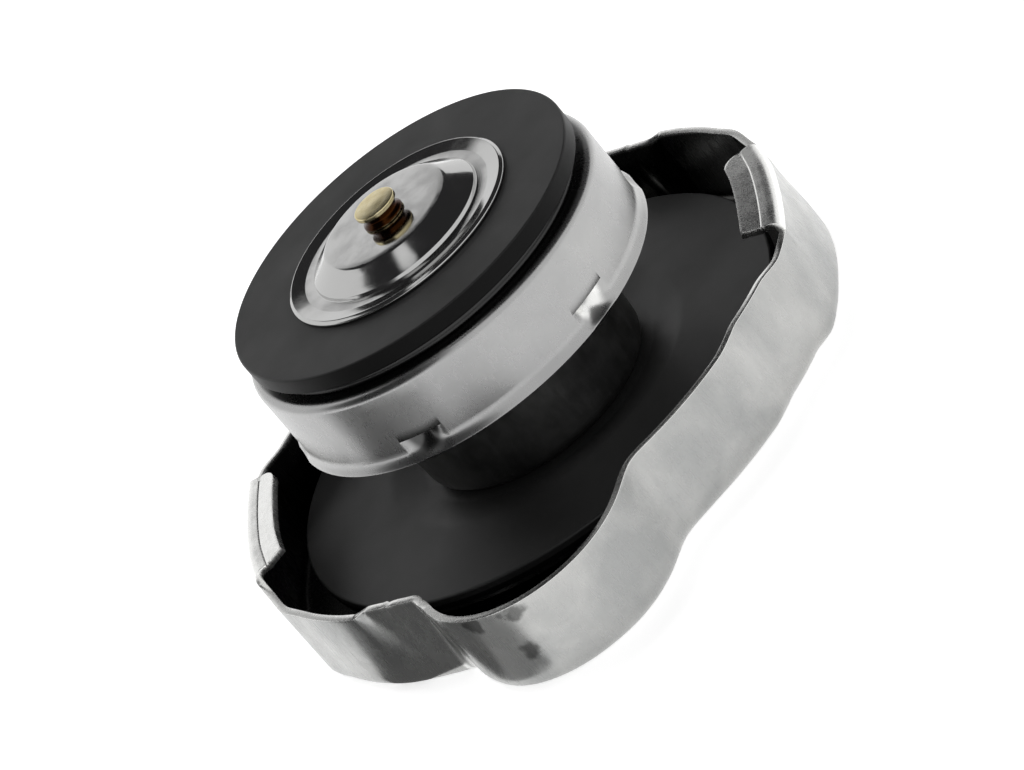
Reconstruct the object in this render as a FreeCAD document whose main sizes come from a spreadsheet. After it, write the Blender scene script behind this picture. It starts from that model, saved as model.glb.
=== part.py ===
"""Radiator cap, standing on the flat top of its shell with its seals up.

Millimetres. +Z is the cap's axis, from the shell's top face at z = 0 towards the pressure seal.
+X runs through the two grip ears. Every piece is a turned or pressed part about +Z.
"""
import FreeCAD, Part
import math
import os
import Sketcher

# Driving dimensions, plain numbers in millimetres or degrees.
SIZES = {
    # shell stamping
    "shell_sheet": 0.8,
    "skirt_height": 10.7,
    "lobe_arc": 33.7,
    "lobe_start_drop": 1.05,
    "lobe_start_angle": 72.25,
    "land_radius": 35.35,
    "land_start_angle": 141.0,
    "ear_centre": 30.4,
    "ear_radius": 12.6,
    "narrow_drop": 2.55,
    "narrow_end_angle": 49.75,
    "waist_drop": 0.8,
    "waist_angle": 57.25,
    "step_rise": 0.9,
    "step_angle": 68.45,
    "ear_side_round": 2.0,
    "ear_slope_round": 5.0,
    "waist_round": 6.0,
    "step_round": 2.0,
    "top_edge_round": 1.8,
    # stop panel pressed into the skirt
    "panel_start_angle": 144.4,
    "panel_end_gap": 1.45,
    "panel_depth": 0.8,
    "panel_foot": 1.6,
    # recess in the middle of the shell
    "recess_radius": 15.0,
    "recess_slope": 2.6,
    "recess_depth": 3.7,
    "recess_round": 1.3,
    # locking tab folded in from the skirt's rim
    "tab_start_angle": 81.25,
    "tab_end_angle": 110.75,
    "tab_reach": 4.9,
    "tab_rise": 1.9,
    "tab_bend_width": 1.5,
    "tab_bend_rise": 1.3,
    "tab_overlap": 0.8,
    "tab_shoulder_rise": 0.1,
    "tab_fold_inset": 0.27,
    "tab_bend_round": 1.0,
    "tab_corner_round": 1.6,
    # rivet stack
    "rivet_radius": 2.5,
    "rivet_head_radius": 5.0,
    "rivet_head_height": 1.3,
    "rivet_clinch_radius": 3.8,
    "rivet_clinch_height": 1.0,
    "rivet_head_round": 0.6,
    "rivet_clinch_round": 0.4,
    "rivet_bore_radius": 1.5,
    "rivet_bore_depth": 3.0,
    "rivet_clearance": 0.06,
    "swivel_play": 0.1,
    "washer_radius": 6.5,
    "washer_sheet": 0.8,
    # diaphragm spring and top gasket
    "diaphragm_gap": 1.5,
    "diaphragm_sheet": 0.4,
    "corrugation_radius": 22.8,
    "corrugation_width": 2.2,
    "corrugation_slope": 1.2,
    "corrugation_depth": 0.6,
    "gasket_overhang": 0.1,
    "gasket_thick": 1.5,
    "gasket_clamped": 0.8,
    "gasket_dish_gap": 0.9,
    "gasket_dish_width": 3.9,
    "gasket_edge_round": 0.3,
    # bell
    "bell_sheet": 0.7,
    "bell_mouth_radius": 14.9,
    "bell_taper": 1.2,
    "bell_height": 15.8,
    "bell_base_round": 1.6,
    "flange_gap": 0.4,
    "flange_round": 1.0,
    # valve cup
    "cup_sheet": 0.7,
    "cup_radius": 21.85,
    "cup_height": 10.8,
    "cup_seat_inset": 2.25,
    "cup_step": 1.35,
    "shoulder_round": 1.0,
    "seat_foot_round": 0.4,
    "seat_edge_round": 0.85,
    "flare_width": 0.55,
    "flare_height": 0.95,
    "stake_count": 6,
    "stake_angle": 47.25,
    "stake_clearance": 0.1,
    "stake_to_rim": 2.66,
    "stake_half_width": 2.7,
    "stake_depth": 1.9,
    "stake_height": 2.85,
    "stake_sheet": 0.65,
    # pressure seal
    "seal_overhang": 1.4,
    "seal_thick": 2.06,
    "seal_edge_round": 0.15,
    # eyelet and guide plate
    "eyelet_wall": 0.6,
    "eyelet_clearance": 0.05,
    "eyelet_flange_width": 2.4,
    "eyelet_clinch_width": 1.5,
    "eyelet_clinch_gap": 0.4,
    "eyelet_sheet": 0.5,
    "eyelet_round": 0.3,
    "guide_margin": 0.35,
    "guide_dish_gap": 0.25,
    "guide_sheet": 0.5,
    "guide_clearance": 0.1,
    "vent_count": 6,
    "vent_radius": 1.0,
    "vent_circle_radius": 5.2,
    # vacuum valve
    "seat_gap": 0.05,
    "plate_sheet": 0.3,
    "plate_radius": 13.58,
    "plate_rim_height": 0.52,
    "plate_lip_round": 0.4,
    "plate_valley_drop": 0.15,
    "plate_brim": 3.3,
    "dome_base_height": 0.6,
    "dome_slope": 2.75,
    "dome_height": 2.35,
    "dome_round": 0.7,
    "pin_radius": 1.5,
    "pin_clearance": 0.05,
    "pin_neck_radius": 2.4,
    "pin_neck_height": 1.2,
    "pin_waist_radius": 1.85,
    "pin_waist_height": 1.05,
    "pin_head_radius": 2.45,
    "pin_head_height": 0.75,
    "pin_head_round": 0.35,
    "pin_peen_radius": 2.2,
    "pin_peen_height": 0.6,
    "retainer_radius": 4.6,
    "retainer_sheet": 0.5,
    "retainer_lip": 0.7,
    # springs
    "main_wire": 2.3,
    "main_gap": 0.65,
    "main_turns": 5.5,
    "light_wire": 0.5,
    "light_mean_radius": 3.2,
    "light_turns": 6.0,
    "light_length": 6.5,
    "spring_clearance": 0.05,
}

# Heights and radii that follow from the driving dimensions.
DERIVED = {
    "lobe_start_radius": "land_radius - lobe_start_drop",
    "narrow_radius": "land_radius - narrow_drop",
    "waist_radius": "narrow_radius - waist_drop",
    "step_radius": "waist_radius + step_rise",
    "recess_floor_radius": "recess_radius - recess_slope",
    "diaphragm_radius": "waist_radius - shell_sheet - diaphragm_gap",
    "gasket_radius": "diaphragm_radius + gasket_overhang",
    "bell_base_radius": "bell_mouth_radius - bell_taper",
    "gasket_dish_radius": "bell_base_radius + gasket_dish_gap",
    "gasket_flat_radius": "gasket_dish_radius + gasket_dish_width",
    "flange_radius": "cup_radius - cup_sheet - flange_gap",
    "cup_seat_radius": "cup_radius - cup_seat_inset",
    "flare_radius": "cup_radius + flare_width",
    "seal_radius": "cup_seat_radius + seal_overhang",
    "main_mean_radius": "bell_base_radius - bell_sheet - main_gap - main_wire / 2",
    "guide_radius": "main_mean_radius + main_wire / 2 + guide_margin",
    "guide_dish_radius": "main_mean_radius - main_wire / 2 - guide_dish_gap",
    "guide_dish_inner": "guide_dish_radius - guide_sheet",
    "eyelet_clinch_radius": "guide_dish_inner - eyelet_clinch_gap",
    "eyelet_radius": "eyelet_clinch_radius - eyelet_clinch_width",
    "eyelet_flange_radius": "eyelet_radius + eyelet_flange_width",
    "dome_base_radius": "plate_radius - plate_brim",
    "dome_top_radius": "dome_base_radius - dome_slope",
    "shell_inner_floor": "recess_depth + shell_sheet",
    "diaphragm_base": "shell_inner_floor + swivel_play",
    "diaphragm_top": "diaphragm_base + diaphragm_sheet",
    "gasket_top": "diaphragm_top + gasket_thick",
    "bell_base": "diaphragm_top + gasket_clamped",
    "bell_floor": "bell_base + bell_sheet",
    "bell_top": "bell_base + bell_height",
    "flange_base": "bell_top - bell_sheet",
    "flange_inner_radius": "bell_mouth_radius - bell_sheet / 2",
    "flange_foot_radius": "bell_mouth_radius - bell_taper * bell_sheet / bell_height",
    "washer_base": "bell_floor + swivel_play",
    "washer_top": "washer_base + washer_sheet",
    "rivet_top": "washer_top + rivet_clinch_height",
    "rivet_bottom": "recess_depth - rivet_head_height",
    "rivet_bore_floor": "rivet_top - rivet_bore_depth",
    "rivet_hole_radius": "rivet_radius + rivet_clearance",
    "slit_height": "flange_base - stake_clearance",
    "cup_rim": "slit_height - stake_to_rim",
    "flare_top": "cup_rim + flare_height",
    "cup_end": "cup_rim + cup_height",
    "cup_ledge": "cup_end - cup_step",
    "cup_inner_end": "cup_end - cup_sheet",
    "stake_back_radius": "cup_radius - cup_sheet / 2",
    "stake_back_depth": "stake_depth - cup_sheet / 2 + stake_sheet",
    "stake_back_half_width": "stake_half_width + stake_sheet",
    "stake_back_height": "stake_height + stake_sheet",
    "stake_trim_radius": "cup_radius - stake_depth - 2 * stake_sheet",
    "stake_trim_outer": "flare_radius + cup_sheet",
    "stake_trim_base": "slit_height - stake_back_height - cup_sheet",
    "seal_face": "cup_end + seal_thick",
    "eyelet_hole_radius": "eyelet_radius + eyelet_clearance",
    "eyelet_bore_radius": "eyelet_radius - eyelet_wall",
    "eyelet_flange_base": "seal_face - eyelet_sheet",
    "eyelet_relief_radius": "eyelet_flange_radius + eyelet_clearance",
    "guide_rim_base": "cup_inner_end - guide_sheet",
    "eyelet_bottom": "cup_inner_end - eyelet_sheet",
    "guide_top": "eyelet_bottom - guide_clearance",
    "guide_base": "guide_top - guide_sheet",
    "guide_hole_radius": "pin_radius + pin_clearance",
    "plate_base": "seal_face + seat_gap",
    "plate_rim_top": "plate_base + plate_rim_height",
    "plate_valley": "plate_rim_top - plate_valley_drop",
    "plate_valley_radius": "(plate_radius + dome_base_radius) / 2",
    "dome_inner_top": "dome_top - plate_sheet",
    "dome_base": "plate_base + dome_base_height",
    "dome_top": "plate_base + dome_height",
    "pin_waist": "dome_top + pin_waist_height",
    "pin_neck_top": "dome_top + pin_neck_height",
    "pin_top": "pin_neck_top + pin_head_height",
    "light_top": "guide_base - spring_clearance",
    "light_bottom": "light_top - light_length",
    "retainer_top": "light_bottom - spring_clearance",
    "retainer_base": "retainer_top - retainer_sheet",
    "retainer_rim": "retainer_top + retainer_lip",
    "retainer_inner_radius": "retainer_radius - retainer_sheet",
    "pin_bottom": "retainer_base - pin_peen_height",
    "corrugation_inner": "corrugation_radius - corrugation_width / 2",
    "corrugation_outer": "corrugation_radius + corrugation_width / 2",
    "corrugation_inner_foot": "corrugation_inner - corrugation_slope",
    "corrugation_outer_foot": "corrugation_outer + corrugation_slope",
    "corrugation_base": "diaphragm_base - corrugation_depth",
    "corrugation_top": "diaphragm_top - corrugation_depth",
    "main_bottom": "bell_floor + spring_clearance",
    "main_top": "guide_rim_base - spring_clearance",
    "main_length": "main_top - main_bottom",
    "main_cut_radius": "main_mean_radius + main_wire",
    "main_cut_bottom": "main_bottom - main_wire",
    "main_cut_top": "main_top + main_wire",
    "light_cut_radius": "light_mean_radius + light_wire",
    "light_cut_bottom": "light_bottom - light_wire",
    "light_cut_top": "light_top + light_wire",
    "tab_inner_radius": "lobe_arc - tab_reach",
    "tab_bend_radius": "lobe_arc - tab_bend_width",
    "tab_wall_radius": "lobe_arc - shell_sheet",
    "tab_bend_inner_radius": "tab_bend_radius - tab_fold_inset",
    "tab_foot": "skirt_height - tab_overlap",
    "tab_bend_top": "skirt_height + tab_bend_rise",
    "tab_top": "skirt_height + tab_rise",
    "tab_shoulder": "skirt_height + tab_shoulder_rise",
    "tab_inner_shoulder": "skirt_height - tab_fold_inset",
    "tab_under": "tab_top - shell_sheet",
    "tab_bend_under": "tab_bend_top - shell_sheet",
    "ear_land_angle": "180 - acos((ear_centre^2 + land_radius^2 - ear_radius^2)"
                      " / (2 * ear_centre * land_radius)) / 1deg",
    "ear_narrow_angle": "180 + acos((ear_centre^2 + narrow_radius^2 - ear_radius^2)"
                        " / (2 * ear_centre * narrow_radius)) / 1deg",
    "panel_end_angle": "ear_land_angle - panel_end_gap",
    "panel_radius": "land_radius - panel_depth",
    "panel_inner_radius": "panel_radius - shell_sheet",
    "panel_inner_start": "panel_start_angle - shell_sheet / panel_radius * 180 / pi",
    "land_inner_radius": "land_radius - shell_sheet",
    "panel_back_radius": "land_inner_radius + shell_sheet / 8",
    "panel_back_end": "180 - acos((ear_centre^2 + land_radius^2 - (ear_radius - 7 * shell_sheet / 8)^2)"
                      " / (2 * ear_centre * land_radius)) / 1deg",
    "panel_cut_radius": "land_radius + panel_depth",
    "narrow_end_turned": "180 + narrow_end_angle",
    "waist_turned": "180 + waist_angle",
    "step_turned": "180 + step_angle",
}

SAME = 1e-4  # places this close, in millimetres, are one
TWO_SIDES = "2"  # what the shell has opposite itself too
doc = FreeCAD.newDocument("radiator_cap")


def make_sheet():
    """Spreadsheet with one row a size: name, value or formula, and the name again as alias."""
    sheet = doc.addObject("Spreadsheet::Sheet", "Sizes")
    row = 1
    for name, value in SIZES.items():
        sheet.set("A%d" % row, name)
        sheet.set("B%d" % row, str(value))
        sheet.setAlias("B%d" % row, name)
        row += 1
    for name, formula in DERIVED.items():
        sheet.set("A%d" % row, name)
        sheet.set("B%d" % row, "=" + formula)
        sheet.setAlias("B%d" % row, name)
        row += 1
    doc.recompute()
    return sheet


SHEET = make_sheet()


def size(name):
    """Number in the sheet's cell of that name; 'zero' is the axis or the base plane."""
    if name == "zero":
        return 0.0
    return float(SHEET.get(name))


def bind(target, prop, expression):
    """Tie a property or a sketch constraint to the sheet."""
    target.setExpression(prop, expression)


def new_body(label):
    body = doc.addObject("PartDesign::Body", label)
    body.Label = label
    return body


def origin_plane(body, role):
    for feature in body.Origin.OriginFeatures:
        if feature.Role == role:
            return feature
    raise ValueError("no origin feature " + role)


def new_sketch(body, name, role):
    sketch = body.newObject("Sketcher::SketchObject", name)
    sketch.AttachmentSupport = [(origin_plane(body, role), "")]
    sketch.MapMode = "FlatFace"
    return sketch


def place_vertex(sketch, index, point, expressions):
    """Hold the start of edge 'index' at the two sheet expressions; without one it sits on an axis.

    To a sketch, -1 is its X axis, or its origin as that axis's first point, and -2 is its Y axis.
    """
    for axis, kind in enumerate(("DistanceX", "DistanceY")):
        if expressions[axis] is None:
            on_axis = -2 if axis == 0 else -1
            sketch.addConstraint(Sketcher.Constraint("PointOnObject", index, 1, on_axis))
        else:
            row = sketch.addConstraint(Sketcher.Constraint(kind, -1, 1, index, 1, point[axis]))
            bind(sketch, "Constraints[%d]" % row, expressions[axis])


def close_outline(sketch, points, expressions, arcs):
    """Closed outline through the points; arcs maps an edge's index to its radius name."""
    count = len(points)
    for index, start in enumerate(points):
        end = points[(index + 1) % count]
        if index in arcs:
            sketch.addGeometry(bulged_arc(start, end, size(arcs[index])), False)
        else:
            sketch.addGeometry(Part.LineSegment(start, end), False)
    for index in range(count):
        after = (index + 1) % count
        sketch.addConstraint(Sketcher.Constraint("Coincident", index, 2, after, 1))
    for index in range(count):
        place_vertex(sketch, index, points[index], expressions[index])
    for index, name in arcs.items():
        row = sketch.addConstraint(Sketcher.Constraint("Radius", index, size(name)))
        bind(sketch, "Constraints[%d]" % row, "Sizes." + name)


def bulged_arc(start, end, radius):
    """Arc from start to end, anticlockwise, with its bulge to the right of the chord."""
    chord = end - start
    half = chord.Length / 2
    side = FreeCAD.Vector(chord.y, -chord.x, 0).normalize()
    rise = radius - math.sqrt(max(radius * radius - half * half, 0.0))
    middle = (start + end) * 0.5 + side * rise
    return Part.Arc(start, middle, end)


def profile_sketch(body, name, profile):
    """Closed section in the XZ plane from (radius name, height name) pairs."""
    sketch = new_sketch(body, name, "XZ_Plane")
    points = [FreeCAD.Vector(size(r), size(z), 0) for r, z in profile]
    expressions = []
    for pair in profile:
        expressions.append([None if part == "zero" else "Sizes." + part for part in pair])
    close_outline(sketch, points, expressions, {})
    return sketch


def turn(body, name, profile, kind="PartDesign::Revolution"):
    """Full turn of a section about +Z, added or cut."""
    sketch = profile_sketch(body, name + "_section", profile)
    feature = body.newObject(kind, name)
    feature.Profile = sketch
    feature.ReferenceAxis = (sketch, ["V_Axis"])
    feature.Angle = 360
    doc.recompute()
    return feature


def cut_turn(body, name, profile):
    return turn(body, name, profile, "PartDesign::Groove")


def ring_edges(shape, places):
    """Names of the circular edges at the (radius name, height name) places."""
    found = []
    for index, edge in enumerate(shape.Edges):
        if not isinstance(edge.Curve, Part.Circle):
            continue
        for r, z in places:
            close_radius = abs(edge.Curve.Radius - size(r)) < SAME
            close_height = abs(edge.Curve.Center.z - size(z)) < SAME
            if close_radius and close_height:
                found.append("Edge%d" % (index + 1))
    return found


def round_edges(body, name, edges, radius_name):
    """Fillet on named edges of the body's tip."""
    base = body.Tip
    feature = body.newObject("PartDesign::Fillet", name)
    feature.Base = (base, edges)
    bind(feature, "Radius", "Sizes." + radius_name)
    doc.recompute()
    return feature


def round_rings(body, name, places, radius_name):
    return round_edges(body, name, ring_edges(body.Tip.Shape, places), radius_name)


def open_sheet(body, name, height_name, thickness_name):
    """Hollow the body to a sheet, leaving open its flat face at the given height."""
    base = body.Tip
    opened = []
    for index, face in enumerate(base.Shape.Faces):
        box = face.BoundBox
        if abs(box.ZMin - size(height_name)) < SAME and box.ZLength < SAME:
            opened.append("Face%d" % (index + 1))
    feature = body.newObject("PartDesign::Thickness", name)
    feature.Base = (base, opened)
    feature.Reversed = True
    bind(feature, "Value", "Sizes." + thickness_name)
    doc.recompute()
    return feature


def polar_point(radius_name, angle_name):
    angle = math.radians(size(angle_name))
    return FreeCAD.Vector(size(radius_name) * math.cos(angle), size(radius_name) * math.sin(angle), 0)


def polar_expressions(radius_name, angle_name, turned=False):
    sign = "-" if turned else ""
    parts = (radius_name, angle_name)
    return [sign + "Sizes.%s * cos(Sizes.%s * 1deg)" % parts,
            sign + "Sizes.%s * sin(Sizes.%s * 1deg)" % parts]


def polar_outline(sketch, corners, arcs, both_halves=False):
    """Outline from polar corners; with both halves, the same corners again half a turn on."""
    points = [polar_point(*corner) for corner in corners]
    expressions = [polar_expressions(*corner) for corner in corners]
    bulges = dict(arcs)
    if both_halves:
        points += [point * -1 for point in points]
        expressions += [polar_expressions(*corner, turned=True) for corner in corners]
        for index, name in arcs.items():
            bulges[index + len(corners)] = name
    close_outline(sketch, points, expressions, bulges)


def extrude(body, name, sketch, length_expression, kind="PartDesign::Pad"):
    feature = body.newObject(kind, name)
    feature.Profile = sketch
    bind(feature, "Length", length_expression)
    return feature


def drill(body, name, radius_name, base_name, top_name):
    """Round hole on the axis between two heights."""
    profile = [("zero", base_name), (radius_name, base_name), (radius_name, top_name), ("zero", top_name)]
    return cut_turn(body, name, profile)


def pattern(body, name, features, count_expression):
    """The features repeated evenly about +Z."""
    feature = body.newObject("PartDesign::PolarPattern", name)
    feature.Originals = features
    feature.Axis = (origin_plane(body, "Z_Axis"), [""])
    feature.Angle = 360
    bind(feature, "Occurrences", count_expression)
    body.Tip = feature
    doc.recompute()
    return feature


# The skirt's outline: half of it, anticlockwise, as polar corners.
SKIRT_CORNERS = [
    ("lobe_start_radius", "lobe_start_angle"),
    ("land_radius", "land_start_angle"),
    ("land_radius", "ear_land_angle"),
    ("narrow_radius", "ear_narrow_angle"),
    ("narrow_radius", "narrow_end_turned"),
    ("waist_radius", "waist_turned"),
    ("step_radius", "step_turned"),
]
SKIRT_ARCS = {0: "lobe_arc", 1: "land_radius", 2: "ear_radius", 3: "narrow_radius"}
SKIRT_ROUNDS = [
    ("ear_side_round", [2]),
    ("ear_slope_round", [3]),
    ("waist_round", [4, 5]),
    ("step_round", [0, 6]),
]


def edges_at(shape, places):
    """Names of the edges along +Z that stand at the given places or opposite them."""
    found = []
    spots = places + [place * -1 for place in places]
    for index, edge in enumerate(shape.Edges):
        foot, head = [vertex.Point for vertex in (edge.Vertexes[0], edge.Vertexes[-1])]
        drift = FreeCAD.Vector(head.x - foot.x, head.y - foot.y, 0).Length
        if drift > SAME or abs(head.z - foot.z) < SAME:
            continue
        level = FreeCAD.Vector(foot.x, foot.y, 0)
        if min((level - spot).Length for spot in spots) < SAME:
            found.append("Edge%d" % (index + 1))
    return found


def upright_edges(shape, corners):
    """Names of the edges along +Z that stand on the given outline corners or opposite them."""
    return edges_at(shape, [polar_point(*corner) for corner in corners])


def lobe_centre():
    """Centre of the wide lobe's arc, from its two ends and its radius."""
    start = polar_point(*SKIRT_CORNERS[0])
    end = polar_point(*SKIRT_CORNERS[1])
    chord = end - start
    half = chord.Length / 2
    inward = FreeCAD.Vector(-chord.y, chord.x, 0).normalize()
    return (start + end) * 0.5 + inward * math.sqrt(size("lobe_arc") ** 2 - half * half)


def make_shell():
    """One stamping: drawn skirt, ears, recess, pressed stop panels, folded tabs, rivet hole."""
    body = new_body("shell")
    outline = new_sketch(body, "skirt_outline", "XY_Plane")
    polar_outline(outline, SKIRT_CORNERS, SKIRT_ARCS, both_halves=True)
    extrude(body, "blank", outline, "Sizes.skirt_height")
    doc.recompute()
    for number, (radius_name, indices) in enumerate(SKIRT_ROUNDS):
        corners = [SKIRT_CORNERS[index] for index in indices]
        round_edges(body, "corner_round_%d" % number, upright_edges(body.Tip.Shape, corners), radius_name)
    base_edges = []
    for index, edge in enumerate(body.Tip.Shape.Edges):
        if edge.BoundBox.ZMax < SAME:
            base_edges.append("Edge%d" % (index + 1))
    round_edges(body, "top_edge", base_edges, "top_edge_round")
    cut_turn(body, "recess", [("zero", "zero"), ("recess_radius", "zero"),
                              ("recess_floor_radius", "recess_depth"), ("zero", "recess_depth")])
    round_rings(body, "recess_edges", [("recess_radius", "zero"), ("recess_floor_radius", "recess_depth")],
                "recess_round")
    open_sheet(body, "shell_wall", "skirt_height", "shell_sheet")
    press_panels(body)
    fold_tabs(body)
    drill(body, "rivet_hole", "rivet_radius", "zero", "diaphragm_base")
    return body


def press_panels(body):
    """Stop panel beside each ear: the skirt stepped in flat, as far as the ear's foot."""
    inside = new_sketch(body, "panel_inside", "XY_Plane")
    polar_outline(inside, [("panel_inner_radius", "panel_inner_start"),
                           ("panel_back_radius", "panel_inner_start"),
                           ("panel_back_radius", "panel_end_angle"),
                           ("land_radius", "panel_back_end"),
                           ("panel_inner_radius", "panel_end_angle")], {1: "panel_back_radius"})
    added = extrude(body, "panel_back", inside, "Sizes.skirt_height - Sizes.shell_sheet / 2")
    bind(inside, "AttachmentOffset.Base.z", "Sizes.shell_sheet / 2")
    doc.recompute()
    pattern(body, "panel_backs", [added], TWO_SIDES)
    outside = new_sketch(body, "panel_outside", "XY_Plane")
    polar_outline(outside, [("panel_radius", "panel_start_angle"),
                            ("panel_cut_radius", "panel_start_angle"),
                            ("panel_cut_radius", "panel_end_angle"),
                            ("panel_radius", "panel_end_angle")], {})
    bind(outside, "AttachmentOffset.Base.z", "Sizes.panel_foot")
    cut = extrude(body, "panel_face", outside, "Sizes.skirt_height", "PartDesign::Pocket")
    cut.Reversed = True
    doc.recompute()
    pattern(body, "panel_faces", [cut], TWO_SIDES)


def fold_tabs(body):
    """Locking tabs: the rim folded in over the wide lobes, rising a little towards its edge."""
    centre = lobe_centre()
    ends = []
    for name in ("tab_start_angle", "tab_end_angle"):
        angle = math.radians(size(name))
        reach = size("lobe_arc")
        spot = FreeCAD.Vector(reach * math.cos(angle), reach * math.sin(angle), 0) - centre
        ends.append(math.degrees(math.atan2(spot.y, spot.x)))
    sketch = profile_sketch(body, "tab_section", [
        ("lobe_arc", "tab_foot"), ("lobe_arc", "tab_shoulder"), ("tab_bend_radius", "tab_bend_top"),
        ("tab_inner_radius", "tab_top"), ("tab_inner_radius", "tab_under"),
        ("tab_bend_inner_radius", "tab_bend_under"), ("tab_wall_radius", "tab_inner_shoulder"),
        ("tab_wall_radius", "tab_foot")])
    turned = FreeCAD.Rotation(FreeCAD.Vector(0, 1, 0), (ends[0] + ends[1]) / 2)
    sketch.AttachmentOffset = FreeCAD.Placement(FreeCAD.Vector(centre.x, 0, -centre.y), turned)
    tab = body.newObject("PartDesign::Revolution", "tab")
    tab.Profile = sketch
    tab.ReferenceAxis = (sketch, ["V_Axis"])
    tab.Angle = ends[1] - ends[0]
    tab.Midplane = True
    doc.recompute()
    pattern(body, "tabs", [tab], TWO_SIDES)
    lead = math.radians(ends[0])
    corner = FreeCAD.Vector(math.cos(lead), math.sin(lead), 0) * size("tab_inner_radius") + centre
    round_edges(body, "tab_corners", edges_at(body.Tip.Shape, [corner]), "tab_corner_round")
    round_rings(body, "tab_bends", [("tab_bend_radius", "tab_bend_top")], "tab_bend_round")


def make_rivet():
    """Semi-tubular rivet: domed head in the recess, clinched over the washer in the bell."""
    body = new_body("centre_rivet")
    turn(body, "rivet", [
        ("zero", "rivet_bottom"), ("rivet_head_radius", "rivet_bottom"),
        ("rivet_head_radius", "recess_depth"), ("rivet_radius", "recess_depth"),
        ("rivet_radius", "washer_top"), ("rivet_clinch_radius", "washer_top"),
        ("rivet_clinch_radius", "rivet_top"), ("rivet_bore_radius", "rivet_top"),
        ("rivet_bore_radius", "rivet_bore_floor"), ("zero", "rivet_bore_floor")])
    round_rings(body, "head_round", [("rivet_head_radius", "rivet_bottom")], "rivet_head_round")
    round_rings(body, "clinch_round", [("rivet_clinch_radius", "rivet_top")], "rivet_clinch_round")
    return body


def make_washer():
    body = new_body("rivet_washer")
    turn(body, "washer", [("rivet_radius", "washer_base"), ("washer_radius", "washer_base"),
                          ("washer_radius", "washer_top"), ("rivet_radius", "washer_top")])
    return body


def make_diaphragm():
    """Spring steel disc with one rolled corrugation."""
    body = new_body("diaphragm_spring")
    turn(body, "disc", [
        ("rivet_hole_radius", "diaphragm_base"), ("corrugation_inner_foot", "diaphragm_base"),
        ("corrugation_inner", "corrugation_base"), ("corrugation_outer", "corrugation_base"),
        ("corrugation_outer_foot", "diaphragm_base"), ("diaphragm_radius", "diaphragm_base"),
        ("diaphragm_radius", "diaphragm_top"), ("corrugation_outer_foot", "diaphragm_top"),
        ("corrugation_outer", "corrugation_top"), ("corrugation_inner", "corrugation_top"),
        ("corrugation_inner_foot", "diaphragm_top"), ("rivet_hole_radius", "diaphragm_top")])
    return body


def make_gasket():
    """Rubber disc, squeezed thinner where the bell clamps it."""
    body = new_body("top_gasket")
    turn(body, "disc", [
        ("rivet_hole_radius", "diaphragm_top"), ("gasket_radius", "diaphragm_top"),
        ("gasket_radius", "gasket_top"), ("gasket_flat_radius", "gasket_top"),
        ("gasket_dish_radius", "bell_base"), ("rivet_hole_radius", "bell_base")])
    round_rings(body, "edge_round", [("gasket_radius", "gasket_top")], "gasket_edge_round")
    return body


def make_bell():
    """Drawn spring housing: tapered cup with an outward flange at its mouth."""
    body = new_body("bell")
    turn(body, "blank", [("zero", "bell_base"), ("bell_base_radius", "bell_base"),
                         ("bell_mouth_radius", "bell_top"), ("zero", "bell_top")])
    round_rings(body, "base_round", [("bell_base_radius", "bell_base")], "bell_base_round")
    open_sheet(body, "bell_wall", "bell_top", "bell_sheet")
    turn(body, "flange", [("flange_inner_radius", "flange_base"), ("flange_radius", "flange_base"),
                          ("flange_radius", "bell_top"), ("flange_inner_radius", "bell_top")])
    round_rings(body, "flange_fold", [("flange_foot_radius", "flange_base")], "flange_round")
    drill(body, "rivet_hole", "rivet_hole_radius", "bell_base", "bell_floor")
    return body


def make_cup():
    """Drawn valve cup: stepped seat for the seal, flared rim, stakes lanced in under the flange."""
    body = new_body("valve_cup")
    turn(body, "blank", [
        ("zero", "cup_rim"), ("flare_radius", "cup_rim"), ("cup_radius", "flare_top"),
        ("cup_radius", "cup_ledge"), ("cup_seat_radius", "cup_ledge"),
        ("cup_seat_radius", "cup_end"), ("zero", "cup_end")])
    round_rings(body, "shoulder", [("cup_radius", "cup_ledge")], "shoulder_round")
    round_rings(body, "seat_foot", [("cup_seat_radius", "cup_ledge")], "seat_foot_round")
    round_rings(body, "seat_edge", [("cup_seat_radius", "cup_end")], "seat_edge_round")
    open_sheet(body, "cup_wall", "cup_rim", "cup_sheet")
    drill(body, "eyelet_hole", "eyelet_hole_radius", "cup_inner_end", "cup_end")
    back = stake_ball(body, "stake_back", "PartDesign::AdditiveEllipsoid", "stake_back_radius",
                      ("stake_back_height", "stake_back_half_width", "stake_back_depth"), 180)
    pattern(body, "stake_backs", [back], "Sizes.stake_count")
    cut_turn(body, "rim_trim", [("stake_trim_radius", "stake_trim_base"),
                                ("stake_trim_outer", "stake_trim_base"),
                                ("stake_trim_outer", "cup_rim"), ("stake_trim_radius", "cup_rim")])
    front = stake_ball(body, "stake_front", "PartDesign::SubtractiveEllipsoid", "cup_radius",
                       ("stake_height", "stake_half_width", "stake_depth"), 360)
    pattern(body, "stake_fronts", [front], "Sizes.stake_count")
    return body


def stake_ball(body, name, kind, radius_name, semi_axes, sweep):
    """Lower half of an ellipsoid set in the cup's wall; its flat top is the lanced slit."""
    ball = body.newObject(kind, name)
    ball.AttachmentSupport = [(origin_plane(body, "XY_Plane"), "")]
    ball.MapMode = "FlatFace"
    place = polar_point(radius_name, "stake_angle")
    place.z = size("slit_height")
    facing = FreeCAD.Rotation(FreeCAD.Vector(0, 0, 1), size("stake_angle") + 90)
    ball.AttachmentOffset = FreeCAD.Placement(place, facing)
    for prop, axis_name in zip(("Radius1", "Radius2", "Radius3"), semi_axes):
        bind(ball, prop, "Sizes." + axis_name)
    ball.Angle1 = -90
    ball.Angle2 = 0
    ball.Angle3 = sweep
    doc.recompute()
    return ball


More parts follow.
